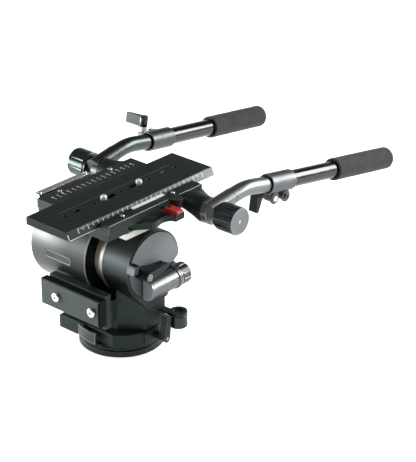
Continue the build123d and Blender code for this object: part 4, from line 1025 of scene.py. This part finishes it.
# %% [markdown]
# ### The ears of the near collar
# The clamp collar is slit, and a screw through its two ears pulls it tight. The screws' near ends
# are seen in shallow round faces. One screw head is pale and the other is dark.

# %% Face the ears of the near collar
COLLAR_EARS = {"1": (138.0, 192.5, 206.8), "2": (138.9, 217.2, 202.8)}
EAR_FACING = (1.0, -0.037, 0.0)
EAR_SCREW = (4.4, 1.8, 1.9, 0.9)
EAR_SCREW_SKIN = {"1": "pale_metal", "2": "tube_gloss"}
EAR_ROWS = [(9.0, -2.4), (9.0, -0.5), (8.5, 0.0), (5.6, 0.0), (5.3, -0.4), (4.0, -0.4)]
for ear, spot in COLLAR_EARS.items():
    seat = standing(spot, EAR_FACING)
    turned("ear_face_near_" + ear, EAR_ROWS, seat, "collar_dark", "near_grip_tube")
    rows, skin = socket_screw_rows(*EAR_SCREW), EAR_SCREW_SKIN[ear]
    turned("ear_screw_near_" + ear, rows, seat, skin, "near_grip_tube", 36)
print("ears faced:", len(COLLAR_EARS))

# %% [markdown]
# ### The hub of the far clamp lever
# The far collar's lever stands up on a round hub with a bright neck. Both are turned pieces that
# follow the lever, because they are part of it.

# %% Turn the hub of the far clamp lever
WING_HUB_FOOT = Vector((-138.6, 197.0, 236.6))
WING_HUB_LINE = (0.0, 0.153, 0.988)
HUB_ROWS = [(5.5, 9.0), (6.5, 9.6), (6.9, 11.0), (6.9, 24.6), (6.2, 26.4), (4.4, 26.9), (3.4, 26.5)]
NECK_ROWS = [(5.6, 0.2), (7.0, 0.8), (7.2, 2.6), (6.7, 7.2), (6.9, 9.0), (5.6, 9.4)]
seat = standing(WING_HUB_FOOT, WING_HUB_LINE)
turned("wing_hub_far", HUB_ROWS, seat, "tube_gloss", "far_wing", 48)
turned("wing_neck_far", NECK_ROWS, seat, "pale_metal", "far_wing", 48)
print("far lever hub:", HUB_ROWS[2][0] * 2, "mm across")

# %% [markdown]
# ## Rings and an end face on the drag barrel
# The barrel that holds the tilt drag knob ends in a raised flange, a thin brass washer and a groove
# in front of the knob, whose shade is painted as a thin black ring. Its other end is a pale flat
# face, cut off by the cover beside it.

# %% Ring the barrel and face its end
BARREL_AXIS = (75.5, 115.0)
BARREL_R = 16.5
BARREL_END_Y = -26.0
END_CUT = -3.6
END_INSET = 0.7
END_STEPS = 24
RINGS = {
    "barrel_flange": (31.2, 4.6, 1.5, "barrel_grey"),
    "barrel_washer": (37.4, 1.3, 0.55, "brass"),
    # The groove's shade is painted as a black ring.
    "barrel_groove_shade": (39.2, 2.0, 0.2, "knob_black"),
}
for name, (y, width, rise, skin) in RINGS.items():
    seat = standing((BARREL_AXIS[0], y, BARREL_AXIS[1]), (0, 1, 0))
    inner, top = BARREL_R - 1.0, BARREL_R + rise
    soft = min(0.5, width / 4)
    rows = [
        (inner, 0.0), (top - soft, 0.0), (top, soft), (top, width - soft), (top - soft, width),
        (inner, width),
    ]
    turned(name, rows, seat, skin, "pan_body", 96, closed=True)

sweep = math.acos(END_CUT / (BARREL_R - END_INSET))
edge = [sweep * (i / END_STEPS - 1) for i in range(2 * END_STEPS + 1)]
points = []
for back, inset in ((-0.2, END_INSET), (0.3, END_INSET), (0.5, 1.0)):
    reach = BARREL_R - inset
    for a in edge:
        x, z = BARREL_AXIS[0] + reach * math.cos(a), BARREL_AXIS[1] + reach * math.sin(a)
        points.append((x, BARREL_END_Y - back, z))
faces = ring_faces(3, len(edge))
finished_piece("barrel_end_face", points, faces, "face_grey", "pan_body", False)
print("barrel rings:", len(RINGS))

# %% [markdown]
# ## The clamp knobs
# The big knobs that clamp the handles are smooth, with ten narrow grooves for the fingers, a turned
# neck at the root, a bright rim and a let-in grey disc. Each row of the profile is turned, and
# inside the grooved part the radius dips where a groove passes.

# %% Turn the clamp knobs
KNOB_R = 21.2
KNOB_SPAN = (136.4, 172.4)
KNOB_MIDDLE = 6.0
KNOB_AXIS = (72.0, 222.0)
GROOVES = 10
GROOVE_DEPTH = 0.9
GROOVE_HALF = 0.07
KNOB_POINTS = 200
KNOB_HEX = (2.7, 0.6, 1.3, 0.5)


def knob_row(radius, height, groove):
    """One ring of the knob, with the grooves cut to a share of their depth."""
    pitch = TURN / GROOVES
    for i in range(KNOB_POINTS):
        angle = TURN * i / KNOB_POINTS
        off = abs((angle + pitch / 2) % pitch - pitch / 2)
        dip = max(0.0, 1.0 - (off / GROOVE_HALF) ** 2) ** 0.5 if off < GROOVE_HALF else 0.0
        reach = radius - GROOVE_DEPTH * dip * groove
        yield Vector((reach * math.cos(angle), reach * math.sin(angle), height))


def knob_profile(top):
    """(radius, height, share of the groove depth) from the root to the bright rim."""
    root = [
        (8.0, 0.0, 0), (KNOB_R - 2.4, 0.0, 0), (KNOB_R - 1.4, 0.8, 0), (KNOB_R - 1.4, 3.6, 0),
        (KNOB_R, 4.6, 0),
    ]
    body = [(KNOB_R, 6.0, 0), (KNOB_R, 6.6, 1), (KNOB_R, top - 5.0, 1), (KNOB_R, top - 4.4, 0)]
    rim = [(1.6, 0.0), (0.6, 0.5), (0.2, 1.1), (0.0, 2.0), (0.0, 3.2), (0.7, 3.4)]
    return root + body + [(KNOB_R - inset, top - low, 0) for low, inset in rim]


def disc_profile(top):
    """The let-in end disc, with the hole for its screw."""
    disc = [(KNOB_R - 3.5, -1.2), (KNOB_R - 3.5, -0.2), (KNOB_R - 3.9, 0.1), (3.4, 0.1)]
    return [(radius, top + rise) for radius, rise in disc + [(3.1, -0.3), (0.2, -0.3)]]


def rim_profile(top):
    """The bright ring between the grip and the disc."""
    rim = [(1.5, -0.5), (0.75, -0.35), (1.2, 0.1), (2.2, 0.25), (3.3, 0.2), (3.3, -0.5)]
    return [(KNOB_R - inset, top + rise) for inset, rise in rim]


for side in ("near", "far"):
    outward = OUTWARD[side]
    body = side + "_knob"
    x = KNOB_MIDDLE + outward * (KNOB_SPAN[0] - KNOB_MIDDLE)
    place = standing((x, *KNOB_AXIS), (outward, 0, 0))
    length = KNOB_SPAN[1] - KNOB_SPAN[0]
    rows = knob_profile(length)
    points = [place @ p for row in rows for p in knob_row(*row)]
    faces = ring_faces(len(rows), KNOB_POINTS)
    name = "clamp_knob_body_" + side
    knob = finished_piece(name, points, faces, "knob_black", body)
    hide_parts("clamp_knob_" + side)
    rows = disc_profile(length)
    disc = turned("knob_end_disc_" + side, rows, place, "end_grey", body, 96)
    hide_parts("knob_disc_" + side)
    rows = rim_profile(length)
    turned("knob_rim_" + side, rows, place, "face_grey", body, 96, closed=True)
    middle = standing((x + outward * (length - 0.4), *KNOB_AXIS), (outward, 0, 0))
    rows = socket_screw_rows(*KNOB_HEX)
    turned("knob_hex_" + side, rows, middle, "cream", body, 36)
    print("clamp knob", side, "length", length)

# %% [markdown]
# ## The front box and its bolts
# A heavy flat box is bolted to the front of the head. Its front edges are broken by a wide chamfer
# that shows as a pale line, so it is cut here with that chamfer. The two bolts have low round heads
# of bright steel, which mirror the white room.

# %% Cut the box and turn its bolts
BOX_X = (-77.0, 46.0)
BOX_Y = (-92.5, -77.0)
BOX_Z = (67.7, 109.9)
BOX_CHAMFER = 2.6
BOX_SMALL = 0.9
# Faces of the box that take the painted shade: its sides and its top.
BOX_SHADE_SIDE = 0.6
BOX_SHADE_TOP = 0.9

def box_ring(y, inset):
    """The four corners of the box at one depth."""
    x0, x1 = BOX_X[0] + inset, BOX_X[1] - inset
    z0, z1 = BOX_Z[0] + inset, BOX_Z[1] - inset
    return [(x0, y, z0), (x1, y, z0), (x1, y, z1), (x0, y, z1)]


rings = [
    box_ring(BOX_Y[0], BOX_CHAMFER), box_ring(BOX_Y[0] + BOX_CHAMFER, 0.0),
    box_ring(BOX_Y[1] - BOX_SMALL, 0.0), box_ring(BOX_Y[1], BOX_SMALL),
]
points = [p for ring in rings for p in ring]
faces = ring_faces(len(rings), 4)
box = finished_piece(
    "chamfered_box", points, faces, "box_grey", "pan_body", False, edge_width=0.5
)
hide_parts("front_box")
# The box's sides and top are painted near-black as shade.
box.data.materials.append(finishes["painted_shade_black"])
for face in box.data.polygons:
    if abs(face.normal.x) > BOX_SHADE_SIDE or face.normal.z > BOX_SHADE_TOP:
        face.material_index = 1
print("box chamfer:", BOX_CHAMFER, "mm")

# %% Turn the box's bolts
BOLT_X = (-42.0, 31.5)
BOLT_Z = 90.4
BOLT_TURN = 15
BOLT_ROWS = [
    (4.0, -14.0), (4.0, 0.0), (7.0, 0.05), (7.2, 0.5), (7.2, 3.2), (6.9, 4.0), (6.2, 4.6),
    (4.6, 5.0), (2.9, 5.1), (2.6, 4.95, 6), (2.6, 3.6, 6),
]
for index, x in enumerate(BOLT_X):
    seat = standing((x, BOX_Y[0], BOLT_Z), (0, -1, 0), turn=BOLT_TURN)
    bolt = turned("box_bolt_" + str(index + 1), BOLT_ROWS, seat, "steel", "pan_body", 48)
    if index == 0:
        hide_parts("front_bolts")
print("bolts:", len(BOLT_X))

# %% [markdown]
# ## Bright rims
# The edge of the spring drum next to the gap catches a bright line of light, and a thin pale ring
# lies on it as a painted highlight. Across the gap, the drag drum starts with a band of bare metal.

# %% Turn the drum's rim
AXIS_Z = TILT_HEIGHT / MM
RIM_ROWS = [(69.5, 0.1), (70.08, -0.5), (70.08, -1.1), (69.0, -1.1), (68.2, 0.1)]
drum_edge = standing((-4.5, 0.0, AXIS_Z), (1, 0, 0))
# A pale ring painted as the highlight on the drum's edge.
turned("drum_rim_highlight", RIM_ROWS, drum_edge, "end_grey", "pan_body", 160, closed=True)
print("rim radius:", RIM_ROWS[1][0])

# %% Bare the edge of the drag drum
DRAG_DRUM_R = 54.8
BARE_EDGE = (9.7, 16.4)
edge_seat = standing((BARE_EDGE[0], 0.0, AXIS_Z), (1, 0, 0))
bare = BARE_EDGE[1] - BARE_EDGE[0]
band = [(-0.6, 0.0), (0.2, 0.2), (0.3, bare - 0.3), (-0.1, bare)]
rows = [(DRAG_DRUM_R + rise, x) for rise, x in band]
turned("bare_drum_edge", rows, edge_seat, "bare_edge", "pan_body", 160, closed=True)
print("bare edge:", round(bare, 1), "mm")

# %% [markdown]
# ### The worn lug
# The lug at the end of the drag drum sticks out where hands pass, and its front is worn grey. Four
# thin blocks follow its curve.

# %% Wear the lug
LUG_X = (66.0, 80.6)
LUG_ANGLES = (7.0, 18.0)
LUG_STEPS = 4
LUG_R = DRAG_DRUM_R + 0.05


def on_lug(step):
    """A point on the lug's front after a number of steps, and the direction out of it."""
    share = (LUG_ANGLES[1] - LUG_ANGLES[0]) * step / LUG_STEPS
    angle = math.radians(LUG_ANGLES[0] + share)
    out = Vector((0.0, -math.cos(angle), math.sin(angle)))
    return Vector((LUG_X[0], 0.0, AXIS_Z)) + out * LUG_R, out


worn = []
for i in range(LUG_STEPS):
    start, out = on_lug(i)
    ahead, _ = on_lug(i + 1)
    worn.append((start - out * 0.3, (LUG_X[1] - LUG_X[0], 0, 0), ahead - start, out * 0.4))
blocks("worn_lug", worn, "sector_grey", "pan_body")
print("lug blocks:", len(worn))

# %% [markdown]
# ## The trim pad's outline
# A curved pad on the base ring has a pale outline, a painted highlight where its edges catch the
# light. It is a row of thin blocks round the curve at the pad's top and foot, and one upright at
# each side.

# %% Outline the trim pad
PAD_R = 68.0
PAD_ANGLES = (-118.6, -81.4)
PAD_Z = (19.0, 36.1)
PAD_LINE = 0.7
PAD_STEPS = 16
PAD_SINK, PAD_THICK = 0.3, 0.6


def on_pad(angle, z):
    """A point on the pad's face, and the direction out of it."""
    a = math.radians(angle)
    out = Vector((math.cos(a), math.sin(a), 0.0))
    return Vector((PAD_R * out.x, PAD_R * out.y, z)), out


outline = []
step = (PAD_ANGLES[1] - PAD_ANGLES[0]) / PAD_STEPS
for i in range(PAD_STEPS):
    for z in PAD_Z:
        start, out = on_pad(PAD_ANGLES[0] + i * step, z)
        ahead, _ = on_pad(PAD_ANGLES[0] + (i + 1) * step, z)
        inwards = (0, 0, PAD_LINE if z == PAD_Z[0] else -PAD_LINE)
        outline.append((start - out * PAD_SINK, ahead - start, out * PAD_THICK, inwards))
for angle in PAD_ANGLES:
    start, out = on_pad(angle, PAD_Z[0])
    inwards = Vector((-out.y, out.x, 0.0)) * (PAD_LINE if angle == PAD_ANGLES[0] else -PAD_LINE)
    rise = (0, 0, PAD_Z[1] - PAD_Z[0])
    outline.append((start - out * PAD_SINK, inwards, out * PAD_THICK, rise))
# The pale outline is a painted highlight.
blocks("trim_pad_highlights", outline, "end_grey", "pan_body")
print("pad outline pieces:", len(outline))

# %% [markdown]
# ## The bare badge plate
# The spring drum has a milled pocket with a small framed plate in it. The plate is left blank here.
# Its frame is a rounded rectangle, so one helper lists the outline at any inset, and rows of it at
# several heights make the frame and the plate.

# %% Set the blank plate into the drum
BADGE_MIDDLE = (-60.5, 141.0)
BADGE_HALF = (25.4, 6.0)
BADGE_FLOOR_Y = -68.8
BADGE_CORNER = 2.2
BADGE_LEAST_CORNER = 0.4
CORNER_STEPS = 6
FRAME_ROWS = [(0.0, -0.2), (0.0, 0.9), (0.3, 1.2), (0.9, 1.2), (1.2, 0.9), (1.2, -0.2)]
FACE_ROWS = [(1.25, -0.2), (1.25, 0.5), (1.6, 0.75)]


def rounded_outline(half, corner):
    """Points round a rectangle with round corners, in its own plane."""
    outline = []
    for quarter, (sx, sz) in enumerate(((1, 1), (-1, 1), (-1, -1), (1, -1))):
        for i in range(CORNER_STEPS + 1):
            angle = math.radians(90 * quarter + 90 * i / CORNER_STEPS)
            x = sx * (half[0] - corner) + corner * math.cos(angle)
            outline.append((x, sz * (half[1] - corner) + corner * math.sin(angle)))
    return outline


def plate_rows(name, rows, skin, closed):
    """A flat piece in the drum's pocket. Each row is (inset, height off the floor)."""
    points = []
    for inset, rise in rows:
        half = (BADGE_HALF[0] - inset, BADGE_HALF[1] - inset)
        for x, z in rounded_outline(half, max(BADGE_CORNER - inset, BADGE_LEAST_CORNER)):
            points.append((BADGE_MIDDLE[0] + x, BADGE_FLOOR_Y - rise, BADGE_MIDDLE[1] + z))
    faces = ring_faces(len(rows), 4 * (CORNER_STEPS + 1), closed)
    return finished_piece(name, points, faces, skin, "pan_body")


plate_rows("badge_frame", FRAME_ROWS, "face_grey", True)
plate_rows("badge_plate", FACE_ROWS, "joint_black", False)
print("badge plate:", BADGE_HALF[0] * 2, "x", BADGE_HALF[1] * 2, "mm, blank")

# %% [markdown]
# ## The level
# A bright level strip lies beside the plate. It has a black end block and two dark marks.
# %% Finish the level
LEVEL_END = ((52.6, 36.2, 241.8), (5.8, 0, 0), (0, 5.0, 0), (0, 0, 1.5))
blocks("level_end", [LEVEL_END], "knob_black", "tilt_body", edge_width=0.35)
LEVEL_MARKS = (-13.0, 19.0)
marks = [((52.9, y, 242.9), (5.2, 0, 0), (0, 0.5, 0), (0, 0, 0.16)) for y in LEVEL_MARKS]
blocks("level_marks", marks, "knob_black", "tilt_body")
print("level end and", len(marks), "marks")
